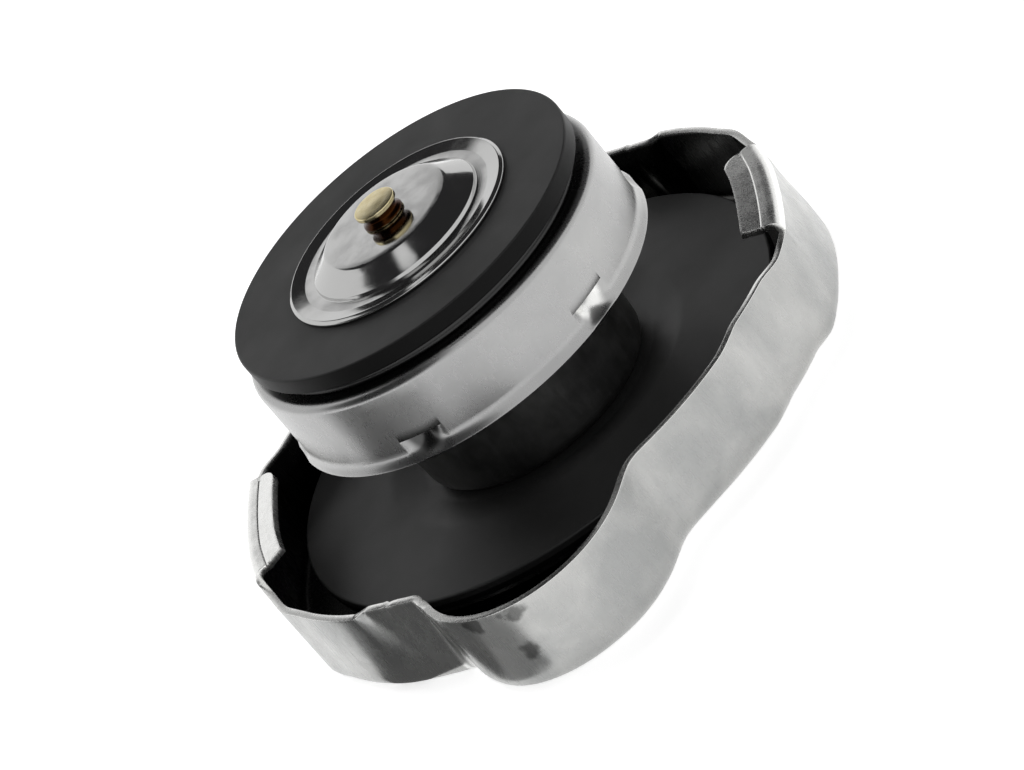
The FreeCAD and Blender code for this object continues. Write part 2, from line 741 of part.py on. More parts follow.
def make_seal():
    """Flat rubber washer, relieved round its bore for the eyelet's flange."""
    body = new_body("pressure_seal")
    turn(body, "washer", [
        ("eyelet_hole_radius", "cup_end"), ("seal_radius", "cup_end"), ("seal_radius", "seal_face"),
        ("eyelet_relief_radius", "seal_face"), ("eyelet_relief_radius", "eyelet_flange_base"),
        ("eyelet_hole_radius", "eyelet_flange_base")])
    round_rings(body, "edge_round", [("seal_radius", "cup_end"), ("seal_radius", "seal_face")],
                "seal_edge_round")
    return body


def make_eyelet():
    """Tubular eyelet: flange on the seal, barrel through the cup, clinched inside."""
    body = new_body("seal_eyelet")
    turn(body, "eyelet", [
        ("eyelet_bore_radius", "eyelet_bottom"), ("eyelet_clinch_radius", "eyelet_bottom"),
        ("eyelet_clinch_radius", "cup_inner_end"), ("eyelet_radius", "cup_inner_end"),
        ("eyelet_radius", "eyelet_flange_base"), ("eyelet_flange_radius", "eyelet_flange_base"),
        ("eyelet_flange_radius", "seal_face"), ("eyelet_bore_radius", "seal_face")])
    round_rings(body, "mouth_round", [("eyelet_bore_radius", "eyelet_bottom"),
                                      ("eyelet_bore_radius", "seal_face")], "eyelet_round")
    return body


def make_guide():
    """Dished plate under the cup's end: pin guide in the middle, vents round it."""
    body = new_body("guide_plate")
    turn(body, "plate", [
        ("guide_hole_radius", "guide_base"), ("guide_dish_radius", "guide_base"),
        ("guide_dish_radius", "guide_rim_base"), ("guide_radius", "guide_rim_base"),
        ("guide_radius", "cup_inner_end"), ("guide_dish_inner", "cup_inner_end"),
        ("guide_dish_inner", "guide_top"), ("guide_hole_radius", "guide_top")])
    sketch = new_sketch(body, "vent_circle", "XY_Plane")
    centre = FreeCAD.Vector(size("vent_circle_radius"), 0, 0)
    sketch.addGeometry(Part.Circle(centre, FreeCAD.Vector(0, 0, 1), size("vent_radius")), False)
    row = sketch.addConstraint(Sketcher.Constraint("Radius", 0, size("vent_radius")))
    bind(sketch, "Constraints[%d]" % row, "Sizes.vent_radius")
    sketch.addConstraint(Sketcher.Constraint("PointOnObject", 0, 3, -1))
    row = sketch.addConstraint(Sketcher.Constraint("DistanceX", -1, 1, 0, 3, centre.x))
    bind(sketch, "Constraints[%d]" % row, "Sizes.vent_circle_radius")
    bind(sketch, "AttachmentOffset.Base.z", "Sizes.guide_base")
    vent = extrude(body, "vent", sketch, "Sizes.guide_sheet", "PartDesign::Pocket")
    vent.Reversed = True
    doc.recompute()
    pattern(body, "vents", [vent], "Sizes.vent_count")
    return body


def make_plate():
    """Vacuum plate: domed sheet with a rolled lip that lies on the seal."""
    body = new_body("vacuum_plate")
    turn(body, "blank", [
        ("zero", "plate_base"), ("plate_radius", "plate_base"), ("plate_radius", "plate_rim_top"),
        ("plate_valley_radius", "plate_valley"), ("dome_base_radius", "dome_base"),
        ("dome_top_radius", "dome_top"), ("zero", "dome_top")])
    round_rings(body, "dome_edge", [("dome_top_radius", "dome_top")], "dome_round")
    round_rings(body, "lip", [("plate_radius", "plate_rim_top")], "plate_lip_round")
    open_sheet(body, "plate_wall", "plate_base", "plate_sheet")
    drill(body, "pin_hole", "guide_hole_radius", "dome_inner_top", "dome_top")
    return body


def make_pin():
    """Brass pin: small head and waisted neck above the plate, stem down to the spring's retainer."""
    body = new_body("vacuum_pin")
    turn(body, "pin", [
        ("zero", "pin_bottom"), ("pin_peen_radius", "pin_bottom"), ("pin_peen_radius", "retainer_base"),
        ("pin_radius", "retainer_base"), ("pin_radius", "dome_top"), ("pin_neck_radius", "dome_top"),
        ("pin_waist_radius", "pin_waist"), ("pin_head_radius", "pin_neck_top"),
        ("pin_head_radius", "pin_top"), ("zero", "pin_top")])
    round_rings(body, "head_round", [("pin_head_radius", "pin_top")], "pin_head_round")
    round_rings(body, "peen_round", [("pin_peen_radius", "pin_bottom")], "pin_head_round")
    return body


def make_retainer():
    """Dished washer that the light spring stands in."""
    body = new_body("spring_retainer")
    turn(body, "washer", [
        ("pin_radius", "retainer_base"), ("retainer_radius", "retainer_base"),
        ("retainer_radius", "retainer_rim"), ("retainer_inner_radius", "retainer_rim"),
        ("retainer_inner_radius", "retainer_top"), ("pin_radius", "retainer_top")])
    return body


def make_spring(label, prefix, length_expression):
    """Compression spring about +Z, its two ends ground flat."""
    body = new_body(label)
    sketch = new_sketch(body, label + "_wire", "XZ_Plane")
    centre = FreeCAD.Vector(size(prefix + "_mean_radius"), size(prefix + "_bottom"), 0)
    wire_radius = size(prefix + "_wire") / 2
    sketch.addGeometry(Part.Circle(centre, FreeCAD.Vector(0, 0, 1), wire_radius), False)
    row = sketch.addConstraint(Sketcher.Constraint("Radius", 0, wire_radius))
    bind(sketch, "Constraints[%d]" % row, "Sizes.%s_wire / 2" % prefix)
    row = sketch.addConstraint(Sketcher.Constraint("DistanceX", -1, 1, 0, 3, centre.x))
    bind(sketch, "Constraints[%d]" % row, "Sizes.%s_mean_radius" % prefix)
    row = sketch.addConstraint(Sketcher.Constraint("DistanceY", -1, 1, 0, 3, centre.y))
    bind(sketch, "Constraints[%d]" % row, "Sizes.%s_bottom" % prefix)
    coil = body.newObject("PartDesign::AdditiveHelix", label + "_coil")
    coil.Profile = sketch
    coil.ReferenceAxis = (sketch, ["V_Axis"])
    coil.Mode = "height-turns-angle"
    bind(coil, "Height", length_expression)
    bind(coil, "Turns", "Sizes.%s_turns" % prefix)
    doc.recompute()
    for end in ("bottom", "top"):
        flat = "%s_%s" % (prefix, end)
        beyond = "%s_cut_%s" % (prefix, end)
        low, high = (beyond, flat) if end == "bottom" else (flat, beyond)
        cut_turn(body, "ground_" + end, [
            ("zero", low), (prefix + "_cut_radius", low), (prefix + "_cut_radius", high), ("zero", high)])
    return body


def check_document():
    """Stop at any failed object or broken shape."""
    for item in doc.Objects:
        if "Invalid" in item.State or "Error" in item.State:
            raise RuntimeError("failed: %s %s" % (item.Name, item.State))


def export(parts):
    os.makedirs("parts", exist_ok=True)
    for part in parts:
        shape = part.Shape
        if shape.isNull() or not shape.isValid():
            raise RuntimeError("bad shape: " + part.Label)
        shape.exportStep("parts/%s.step" % part.Label)
        print(part.Label, len(shape.Solids), "solid", round(shape.Volume, 2), "mm3")


PARTS = [
    make_shell(),
    make_rivet(),
    make_washer(),
    make_diaphragm(),
    make_gasket(),
    make_bell(),
    make_spring("main_spring", "main", "Sizes.main_length"),
    make_cup(),
    make_seal(),
    make_eyelet(),
    make_guide(),
    make_plate(),
    make_pin(),
    make_spring("vacuum_spring", "light", "Sizes.light_length"),
    make_retainer(),
]
check_document()
export(PARTS)
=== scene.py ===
"""Radiator cap, dressed: drawn and plated steel, moulded rubber, a polished vacuum plate and a brass pin.

Lengths are in millimetres until a mesh is made, where they turn to metres. Angles are in degrees. +Z is
the cap's axis and +X runs through the two grip ears, as in the frame.
"""

import bmesh
import bpy
import numpy as np
from mathutils import Matrix, Vector


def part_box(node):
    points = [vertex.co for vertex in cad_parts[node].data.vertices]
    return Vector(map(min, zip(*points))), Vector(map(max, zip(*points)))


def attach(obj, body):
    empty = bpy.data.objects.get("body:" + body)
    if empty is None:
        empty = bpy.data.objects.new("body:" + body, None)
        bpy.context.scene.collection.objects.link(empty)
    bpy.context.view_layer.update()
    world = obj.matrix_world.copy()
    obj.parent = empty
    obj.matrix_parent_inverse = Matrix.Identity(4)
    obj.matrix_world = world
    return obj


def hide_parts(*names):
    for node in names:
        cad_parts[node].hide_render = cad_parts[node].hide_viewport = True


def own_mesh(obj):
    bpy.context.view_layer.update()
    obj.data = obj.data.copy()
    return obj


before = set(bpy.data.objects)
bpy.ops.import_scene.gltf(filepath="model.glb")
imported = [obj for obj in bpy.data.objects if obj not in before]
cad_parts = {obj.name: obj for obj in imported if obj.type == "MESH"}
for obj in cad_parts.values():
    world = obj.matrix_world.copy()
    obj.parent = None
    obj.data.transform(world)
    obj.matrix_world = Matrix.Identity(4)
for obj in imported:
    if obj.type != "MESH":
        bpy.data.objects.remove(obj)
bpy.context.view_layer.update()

# A millimetre in metres, the slack of an angle test in degrees, the reach within which points merge in
# millimetres, and the angles at which the skirt is worked out before it is read off at the mesh's columns.
MM = 0.001
HAIR = 0.001
MERGE = 0.0001
SAMPLES = 7200
ALL_ROUND = np.arange(SAMPLES) * 360.0 / SAMPLES

# Shell outline: polar places of the corners of half the skirt, and the radii of its arcs. The blurs, in
# degrees, are those of its corners, of the ear's run-out into the narrow side, and of its direction.
LOBE_ARC = 33.7
LOBE_START = (34.3, 72.25)
LAND = (35.35, 141.0)
EAR_CENTRE = 30.4
EAR_RADIUS = 12.6
EAR_RUN_OUT = (14.0, 5.0)
NARROW = (32.8, 49.75)
WAIST = (32.0, 57.25)
STEP = (32.9, 68.45)
OUTLINE_BLUR = (0.9, 2.2)
DIRECTION_BLUR = (2.5, 3.5)
SWELL_BLUR = 1.3

# Shell: sheet, skirt, edge round and the recess round the rivet.
SHEET = 0.8
SKIRT_HEIGHT = 10.7
TOP_ROUND = 1.8
RECESS_RADIUS = 15.0
RECESS_FLOOR = 12.4
RECESS_DEPTH = 3.7
RECESS_ROUND = 1.6
RECESS_MARGIN = 3.0
RIVET_RADIUS = 2.5

# Stop panel: its ends, its depth, how much flatter than the skirt it is, and its foot's share of the depth.
# Its first bend is longer at the foot by the second number. Creases, nicks and lines of painted highlight
# are given as angle past the panel's start and half width, with their depth.
PANEL = (144.4, 159.4)
PANEL_SPAN = PANEL[1] - PANEL[0]
PANEL_DEPTH = 0.8
PANEL_FLAT = 0.25
PANEL_FOOT = 0.2
PANEL_FOOT_HEIGHT = 9.0
PANEL_FIRST_BEND = (1.7, 9.5)
PANEL_LAST_BEND = 2.7
CREASE = (7.2, 0.6)
CREASE_DEPTH = 0.14
CREASE_HEIGHTS = (1.0, 4.0)
NICK = (6.3, 0.4)
NICK_DEPTH = 0.15
NICK_HEIGHTS = (9.6, 10.6)
# Lines of painted highlight near each panel's far end.
HIGHLIGHT_LINES = ((PANEL_SPAN - 1.6, 0.5), (PANEL_SPAN + 0.6, 0.8))

# Locking tabs: the start, end and rounded end of each, and their section as inset from the skirt, height
# and round of each corner. The fold sags between the heights.
TABS = ((80.6, 110.9, 110.9), (258.8, 290.6, 258.8))
TAB_SECTION = [
    (0.0, 10.7, 0.0), (0.12, 12.05, 1.2), (2.0, 12.17, 0.2), (2.15, 12.12, 0.08), (2.3, 12.17, 0.12),
    (4.35, 12.6, 0.0)]
TAB_CORNER = 2.3
TAB_ROW = 0.4
FOLD_SAG = 0.75
SAG_HEIGHTS = (4.0, 10.2)

# Skirt by angle: how far its foot stands out from its rim, and the soft corner beside each tab.
FOOT_SWELL = (
    (-24.0, 0.0), (-19.5, -0.3), (-16.0, -0.3), (-10.0, 0.0), (5.0, 0.05), (12.0, 0.35), (20.0, 0.6),
    (24.5, 1.05), (32.0, 0.6), (47.0, 0.6), (57.5, 1.0), (66.0, 0.8), (76.0, 0.4), (86.0, 0.0))
FOOT_HEIGHT = 1.0
CORNER_SWELL = (
    (103.0, 0.0), (111.0, -0.28), (117.0, -0.22), (123.5, 0.34), (128.0, 0.05), (138.0, 0.12),
    (143.0, 0.12), (147.0, 0.0))

# Shell mesh: steps between columns, even ones and those at bends and tab ends, and rows.
COLUMN_STEP = 0.75
FINE_STEP = 0.2
FINE_MARGIN = 0.4
FINE_TAB_END = 5.2
FLAT_ROWS = 8
CLIMB_ROWS = 22

# Valve cup: its flare is the radius at the rim and the height up to the wall.
CUP_RADIUS = 21.85
CUP_SHEET = 0.7
CUP_RIM = 18.14
CUP_FLARE = (22.4, 0.95)
CUP_SHOULDER = 27.59
CUP_NECK = 19.6
CUP_END = 28.94
CUP_BORE = 7.45

# Stakes: they hang from the slit's height, start where the bowl passes a share of its depth, and have
# fine columns at these angles from their middle. Those past half a turn get painted shade instead of a
# painted highlight.
SLIT = 20.8
STAKES = 6
STAKE_PITCH = 360.0 / STAKES
STAKE_ANGLE = 47.25
STAKE_HALF_WIDTH = 2.9
STAKE_HEIGHT = 2.9
STAKE_DEPTH = 1.9
STAKE_START = 0.02
STAKE_DENT_SHADE = -0.8
STAKE_COLUMNS = np.arange(-8.0, 8.01, 0.25)

# Sections of the turned pieces, as radius, height and round of each corner.
SEAL_TOP = 31.0
EYELET_SEAT = (9.85, 30.5)
SEAL_SECTION = [
    (CUP_BORE, EYELET_SEAT[1], 0), (CUP_BORE, CUP_END, 0.1), (21.0, CUP_END, 0.22), (21.0, SEAL_TOP, 0.22),
    (EYELET_SEAT[0], SEAL_TOP, 0.1), (*EYELET_SEAT, 0.05), (CUP_BORE, EYELET_SEAT[1], 0)]
PLATE_SECTION = [
    (1.55, 33.1, 0), (7.4, 33.06, 0.6), (10.0, 31.36, 0.3), (11.3, 31.08, 0.3), (13.2, 31.06, 0.2),
    (13.56, 31.06, 0.15), (13.58, 31.36, 0.18), (13.2, 31.6, 0.22), (12.75, 31.52, 0.25),
    (11.6, 31.32, 0.5), (10.27, 31.33, 0.12), (10.14, 31.74, 0.08), (7.62, 33.36, 0.7), (1.55, 33.38, 0),
    (1.55, 33.1, 0)]
PIN_SECTION = [
    (0, 19.44, 0), (2.2, 19.44, 0.3), (2.2, 20.04, 0.05), (1.5, 20.04, 0.05), (1.5, 33.42, 0.1),
    (2.4, 33.42, 0.12), (2.36, 33.68, 0.2), (1.95, 34.05, 0.3), (1.95, 34.62, 0.1), (2.45, 34.78, 0.08),
    (2.43, 35.28, 0.12), (0, 35.35, 0)]
RUNNING_BORE = 2.56
CLAMPED = 5.8
GASKET_SECTION = [
    (RUNNING_BORE, CLAMPED, 0), (RUNNING_BORE, 5.0, 0.05), (29.8, 5.0, 0.15), (29.8, 6.5, 0.3),
    (18.5, 6.5, 6.0), (14.6, CLAMPED, 3.0), (RUNNING_BORE, CLAMPED, 0)]
BELL_SHEET = 0.7
BELL_SECTION = [(RUNNING_BORE, CLAMPED, 0), (13.7, CLAMPED, 1.6), (14.85, 20.9, 0.7), (20.75, 20.9, 0)]

# Springs: wire diameter and number of turns.
MAIN_SPRING = (2.3, 5.5)
LIGHT_SPRING = (0.5, 6.0)
COIL_STEPS = 60
WIRE_SIDES = 20

# Tones painted on as light and shade (the inner face's shade, highlights, shade in the stakes, dark
# reflections, the rubber's shaded sides), the brass neck's tarnish, and the middle and reach of each
# painted dark reflection on the shell.
INNER_SHADE = "#424241"
PAINTED_HIGHLIGHT = "#F4F4F2"
DENT_SHADE = "#2C2C2C"
DARK_REFLECTION = "#4A4A49"
RUBBER_SIDE_SHADE = "#060606"
NECK_STAIN = "#331A08"
DARK_REFLECTIONS = (((42.9, -1.9, 9.8), 1.3), ((42.6, -2.9, 5.3), 1.1), ((41.2, -6.6, 9.9), 1.0))

# Studio: the floor's half side and level and the cards on it, with the tone of each. Sky caps have the
# direction of their middle, the dot product at their edge, and the edge's softness.
FLOOR_SIDE = 3000.0
FLOOR_LEVEL = -0.05
CARD_LEVEL = 0.1
SEEN_WHITE = 0.68
DARK_CARD = ((26.5, -20.5), (20.0, -85.0), (60.0, -85.0), (39.0, -11.2))
DARK_CARD_TONE = 0.15
GREY_CARD = ((39.0, -11.2), (60.0, -85.0), (88.0, -78.0), (76.0, -34.0), (46.5, -5.0))
GREY_CARD_TONE = 0.36
CANOPY = ((-0.401, 0.149, 0.904), 0.69, 0.008)
LAMP_SLOT = ((0.015, -0.104, 0.994), 0.9955, 0.0035)
LOW_PATCH = ((0.571, -0.616, 0.545), 0.82, 0.03)
CANOPY_TONE = (0.035, 0.035, 0.036, 1)
WHITE = (1, 1, 1, 1)
LAMP_PLACE = (-550.0, -350.0, 1000.0)
LAMP_TARGET = (0.0, 0.0, 15.0)
LAMP_SIZE = 700.0
LAMP_POWER = 6.0
CAMERA_PLACE = (487.20, 164.20, 265.41)
CAMERA_RIGHT = (0.02643, 0.81655, -0.57667)
CAMERA_UP = (-0.53021, 0.50049, 0.68438)
LENS = 192.9
SENSOR = 36.0

# Sockets of a Mix node set to colours: its factor, its two colours and its result.
SHARE, FIRST, SECOND, MIXED = 0, 6, 7, 2


def smoothstep(low, high, value):
    """0 from low back, 1 from high on, and 3t^2 - 2t^3 between, whichever of the two is larger."""
    t = np.clip((value - low) / (high - low), 0.0, 1.0)
    return t * t * (3.0 - 2.0 * t)


def ridge(value, middle, half_width):
    """Bell curve exp(-((value - middle) / half width)^2)."""
    return np.exp(-((value - middle) / half_width) ** 2)


def rounded(corners, step=12.0):
    """Section line through (radius, height, round) corners, each round drawn as an arc.

    At a corner with unit vectors a and b towards its neighbours, an angle t between them and a round q,
    the arc's centre lies q / sin(t / 2) along a + b, and the arc spans 180 degrees - t.
    """
    places = np.array([corner[:2] for corner in corners], float)
    line = [places[0]]
    for index in range(1, len(corners) - 1):
        here = places[index]
        back = places[index - 1] - here
        ahead = places[index + 1] - here
        back /= np.linalg.norm(back)
        ahead /= np.linalg.norm(ahead)
        q = corners[index][2]
        if q == 0.0:
            line.append(here)
            continue
        half = np.arccos(np.clip(back @ ahead, -1.0, 1.0)) / 2
        inward = (back + ahead) / np.linalg.norm(back + ahead)
        centre = here + inward * q / np.sin(half)
        start = here + back * q / np.tan(half) - centre
        end = here + ahead * q / np.tan(half) - centre
        sweep = np.pi - 2 * half
        count = max(int(np.degrees(sweep) / step), 2)
        share = np.linspace(0.0, 1.0, count + 1)[:, None]
        arc = (np.sin((1 - share) * sweep) * start + np.sin(share * sweep) * end) / np.sin(sweep)
        line.extend(centre + arc)
    line.append(places[-1])
    return np.array(line)


def divided(line, longest):
    """The section line with its long runs divided evenly, so that no run is over the longest."""
    parts = [line[:1]]
    for start, end in zip(line[:-1], line[1:]):
        count = max(int(np.ceil(np.linalg.norm(end - start) / longest)), 1)
        share = np.linspace(0.0, 1.0, count + 1)[1:, None]
        parts.append(start + (end - start) * share)
    return np.concatenate(parts)


def add_piece(name, points, quads, marks=None):
    """Smooth mesh of the quads over points in millimetres, merged where points meet at a pole or a seam.

    marks are the points' own attributes, by name.
    """
    mesh = bpy.data.meshes.new(name)
    mesh.from_pydata((points * MM).tolist(), [], quads.tolist())
    for key, values in (marks or {}).items():
        mesh.attributes.new(key, "FLOAT", "POINT").data.foreach_set("value", values)
    merged = bmesh.new()
    merged.from_mesh(mesh)
    bmesh.ops.remove_doubles(merged, verts=merged.verts, dist=MERGE * MM)
    merged.to_mesh(mesh)
    merged.free()
    mesh.shade_smooth()
    piece = bpy.data.objects.new(name, mesh)
    bpy.context.scene.collection.objects.link(piece)
    return piece


def ring_quads(rows, columns):
    """Quads over a grid that closes on itself after its last column.

    Rows follow the section out, up and back in, and columns run anticlockwise about +Z, so faces
    point outwards.
    """
    index = np.arange(rows * columns).reshape(rows, columns)
    after = np.roll(index, -1, axis=1)
    return np.stack([index[:-1], after[:-1], after[1:], index[1:]], axis=-1)


def add_sheet(name, grid, keep, sheet, painted_light_mark=np.zeros(1)):
    """Sheet metal: the kept quads of a grid as outer face, an inner face, and the cut edges between them.

    The inner twin of a point lies one sheet behind it, against the mean of the unit normals of the quads
    round it. The mean is taken again from the quads' own means, four times in all, so that the inside of
    a tight bend doesn't fold over. A quad's side that no other quad shares is a cut edge, and gets a quad
    across to the twins. The marks are inside, 1 on the inner face, which is painted dark as shade, and the
    painted light mark, as given by grid point: over 0 for a painted highlight, under 0 for painted shade.
    """
    rows, columns = grid.shape[:2]
    places, shared = np.unique(np.round(grid.reshape(-1, 3), 4) + 0.0, axis=0, return_inverse=True)
    shared = shared.reshape(-1)
    count = len(places)
    quads = shared[ring_quads(rows, columns)[keep]]
    corners = places[quads]
    facing = np.cross(corners[:, 2] - corners[:, 0], corners[:, 3] - corners[:, 1])
    facing /= np.maximum(np.linalg.norm(facing, axis=1, keepdims=True), 1e-9)
    for _ in range(4):
        spread = np.repeat(facing, 4, axis=0)
        mean = np.stack([np.bincount(quads.ravel(), spread[:, axis], count) for axis in range(3)], axis=-1)
        mean /= np.maximum(np.linalg.norm(mean, axis=1, keepdims=True), 1e-9)
        facing = mean[quads].mean(axis=1)
    twins = places - sheet * mean
    sides = np.stack([quads, np.roll(quads, -1, axis=1)], axis=-1).reshape(-1, 2)
    there = sides[:, 0] * count + sides[:, 1]
    back = sides[:, 1] * count + sides[:, 0]
    cut = sides[~np.isin(there, back)]
    across = np.stack([cut[:, 1], cut[:, 0], cut[:, 0] + count, cut[:, 1] + count], axis=-1)
    inner = np.ones(count)
    inner[cut.ravel()] = 0.0
    painted_light = np.bincount(shared, np.broadcast_to(painted_light_mark, (rows, columns)).ravel(), count)
    marks = {"inside": np.concatenate([0 * inner, inner]), "painted_light_mark": np.tile(painted_light, 2)}
    return add_piece(name, np.concatenate([places, twins]),
                     np.concatenate([quads, quads[:, ::-1] + count, across]), marks)


def finish_edges(piece, edge=0.0):
    """Small bevel on the cut edges, and area-weighted normals."""
    if edge:
        bevel = piece.modifiers.new("edge", "BEVEL")
        bevel.width = edge * MM
        bevel.segments = 2
        bevel.limit_method = "ANGLE"
        bevel.angle_limit = np.radians(50.0)
    weighted = piece.modifiers.new("normals", "WEIGHTED_NORMAL")
    weighted.weight = 80


def settle(piece, node, body, material):
    """Give the piece its material and its body, and hide the CAD node it stands for."""
    piece.data.materials.append(material)
    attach(piece, body)
    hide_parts(node)


def turned_grid(line, columns=360):
    """Section line (radius, height) turned once about +Z: x = r cos a, y = r sin a."""
    angle = np.linspace(0.0, 2 * np.pi, columns, endpoint=False)
    radius, height = line[:, :1], line[:, 1:]
    return np.stack([radius * np.cos(angle), radius * np.sin(angle), height + 0 * angle], axis=-1)


def turned(name, line, columns=360):
    """Closed section turned about +Z."""
    points = turned_grid(line, columns).reshape(-1, 3)
    return add_piece(name, points, ring_quads(len(line), columns).reshape(-1, 4))


def turned_sheet(name, line, sheet, columns=360):
    """Section line of the outer face turned about +Z, with its wall thickness behind it."""
    return add_sheet(name, turned_grid(line, columns), np.ones((len(line) - 1, columns), bool), sheet)


def ray_circle(angle, centre, radius):
    """Distance from the axis to a circle's far side: C.u + sqrt(R^2 - C.C + (C.u)^2)."""
    along = centre[0] * np.cos(angle) + centre[1] * np.sin(angle)
    return along + np.sqrt(np.maximum(radius ** 2 - centre @ centre + along ** 2, 0.0))


def polar(radius, degrees):
    """Point at a distance and an angle from the axis."""
    return radius * np.array([np.cos(np.radians(degrees)), np.sin(np.radians(degrees))])


def ear_edge(radius):
    """Angle from the ear's own axis at which the ear's circle has the given distance, in degrees."""
    cosine = (EAR_CENTRE ** 2 + radius ** 2 - EAR_RADIUS ** 2) / (2 * EAR_CENTRE * radius)
    return np.degrees(np.arccos(cosine))


def blurred(values, degrees):
    """Samples all round smoothed by a Gaussian of that many degrees, through their Fourier terms."""
    terms = np.fft.rfft(values)
    waves = np.arange(terms.size) / SAMPLES
    sigma = degrees * SAMPLES / 360.0
    return np.fft.irfft(terms * np.exp(-2 * (np.pi * waves * sigma) ** 2), SAMPLES)


def skirt_radius(degrees, blurs):
    """Outer radius of the skirt by angle: arcs and chords, with their corners blurred.

    The second blur holds where the ear runs out into the narrow side, and the first one elsewhere.
    """
    half = (ALL_ROUND - LOBE_START[1]) % 180.0 + LOBE_START[1]
    start, end = polar(*LOBE_START), polar(*LAND)
    chord = end - start
    inward = np.array([-chord[1], chord[0]]) / np.linalg.norm(chord)
    lobe = (start + end) / 2 + inward * np.sqrt(LOBE_ARC ** 2 - chord @ chord / 4)
    ear = np.array([-EAR_CENTRE, 0.0])
    angle = np.radians(half)
    ear_start = 180.0 - ear_edge(LAND[0])
    ear_end = 180.0 + ear_edge(NARROW[0])
    bends = [180.0 + NARROW[1], 180.0 + WAIST[1], 180.0 + STEP[1], 180.0 + LOBE_START[1]]
    chords = np.interp(half, bends, [NARROW[0], WAIST[0], STEP[0], LOBE_START[0]])
    sharp = np.select(
        [half < LAND[1], half < ear_start, half < ear_end, half < bends[0]],
        [ray_circle(angle, lobe, LOBE_ARC), LAND[0] + 0 * half, ray_circle(angle, ear, EAR_RADIUS),
         NARROW[0] + 0 * half], chords)
    tight, wide = (blurred(sharp, blur) for blur in blurs)
    share = smoothstep(*EAR_RUN_OUT, np.abs(half - ear_end))
    return np.interp(degrees, ALL_ROUND, tight * (1 - share) + wide * share, period=360.0)


def swell(degrees, places):
    """Smoothed list of (angle, length) pairs, the same on both halves of the cap, at the given angles."""
    angles, lengths = np.array(places).T
    half = (ALL_ROUND - angles[0]) % 180.0 + angles[0]
    smooth = blurred(np.interp(half, angles, lengths), SWELL_BLUR)
    return np.interp(degrees, ALL_ROUND, smooth, period=360.0)


def skirt_inward(degrees):
    """Unit vectors into the skirt in plan: against the ray turned by atan(r' / r), r the soft radius."""
    soft = skirt_radius(ALL_ROUND, DIRECTION_BLUR)
    slope = np.gradient(soft, np.radians(360.0 / SAMPLES))
    lean = np.interp(degrees, ALL_ROUND, np.arctan2(slope, soft), period=360.0)
    away = np.radians(degrees) - lean
    return -np.stack([np.cos(away), np.sin(away)], axis=-1)


def skirt_columns():
    """Column angles: even ones, and finer ones at the panels' bends and the tabs' ends."""
    even = np.arange(0.0, 360.0, COLUMN_STEP)
    first_bend = np.arange(-FINE_MARGIN, 2.4, FINE_STEP) + PANEL[0]
    last_bend = np.arange(-2.6, 0.9, FINE_STEP) + PANEL[1]
    parts = [even, first_bend, last_bend, first_bend + 180.0, last_bend + 180.0]
    for start, end, _ in TABS:
        parts.append(np.arange(-FINE_MARGIN, FINE_TAB_END, FINE_STEP) + start)
        parts.append(np.arange(-FINE_TAB_END, FINE_MARGIN, FINE_STEP) + end)
        parts.append([start, end])
    return np.unique(np.round(np.concatenate(parts) % 360.0, 3))


def stop_panels(degrees, heights):
    """How far the skirt lies inwards at its two stop panels, by row and column, and its lines of painted
    highlight.

    A panel lies in by its depth between an S-bend at each end, and by f (1 - u^2) more for being flatter
    than the skirt, u from -1 to 1 along it. Both fade to a share of themselves at the foot. A crease
    stands out of it and a nick is cut into its rim.
    """
    past = (degrees - PANEL[0]) % 180.0
    bend = PANEL_FIRST_BEND[0] + PANEL_FIRST_BEND[1] * np.clip(1 - heights / SKIRT_HEIGHT, 0.0, 1.0)
    level = smoothstep(0.0, 1.0, past / bend)
    level = level * smoothstep(PANEL_SPAN, PANEL_SPAN - PANEL_LAST_BEND, past)
    flatter = np.clip(1 - ((past - PANEL_SPAN / 2) / (PANEL_SPAN / 2)) ** 2, 0.0, 1.0)
    share = PANEL_FOOT + (1 - PANEL_FOOT) * smoothstep(0.0, PANEL_FOOT_HEIGHT, heights)
    nick = NICK_DEPTH * ridge(past, *NICK) * smoothstep(*NICK_HEIGHTS, heights)
    crease = CREASE_DEPTH * ridge(past, *CREASE) * smoothstep(*CREASE_HEIGHTS, heights)
    pressed = (PANEL_DEPTH * level + PANEL_FLAT * flatter) * share + nick - crease
    return pressed, sum(ridge(past, *line) for line in HIGHLIGHT_LINES)


def tab_columns(degrees):
    """By column: the fold's sag, whether a tab is there, and how much shorter its round corner makes it.

    The sag is s (1 - u^2), u from -1 to 1 along the tab. At a distance d from the tab's rounded end, and
    with c the corner's round, the tab is shorter by c - sqrt(c^2 - (c - d)^2) as far as d = c.
    """
    sag = 0 * degrees
    short = 0 * degrees
    on_tab = np.zeros(degrees.size, bool)
    for start, end, round_end in TABS:
        along = (2 * degrees - start - end) / (end - start)
        sag += FOLD_SAG * np.maximum(1 - along ** 2, 0.0)
        on_tab |= (degrees > start - HAIR) & (degrees < end - HAIR)
        away = np.abs(degrees - round_end) * LOBE_ARC * np.radians(1.0)
        within = np.clip(TAB_CORNER - away, 0.0, TAB_CORNER) * (np.abs(along) <= 1.0)
        short += TAB_CORNER - np.sqrt(TAB_CORNER ** 2 - within ** 2)
    return sag, on_tab, short


def tab_rows(short):
    """Inset and height of the tab's rows, spread evenly over each column's own length of its section."""
    section = divided(rounded(TAB_SECTION), TAB_ROW)[1:]
    runs = np.linalg.norm(np.diff(section, axis=0), axis=1)
    lengths = np.concatenate([[0.0], np.cumsum(runs)])
    reach = (lengths[:, None] / lengths[-1]) * (lengths[-1] - short)
    return np.interp(reach, lengths, section[:, 0]), np.interp(reach, lengths, section[:, 1])


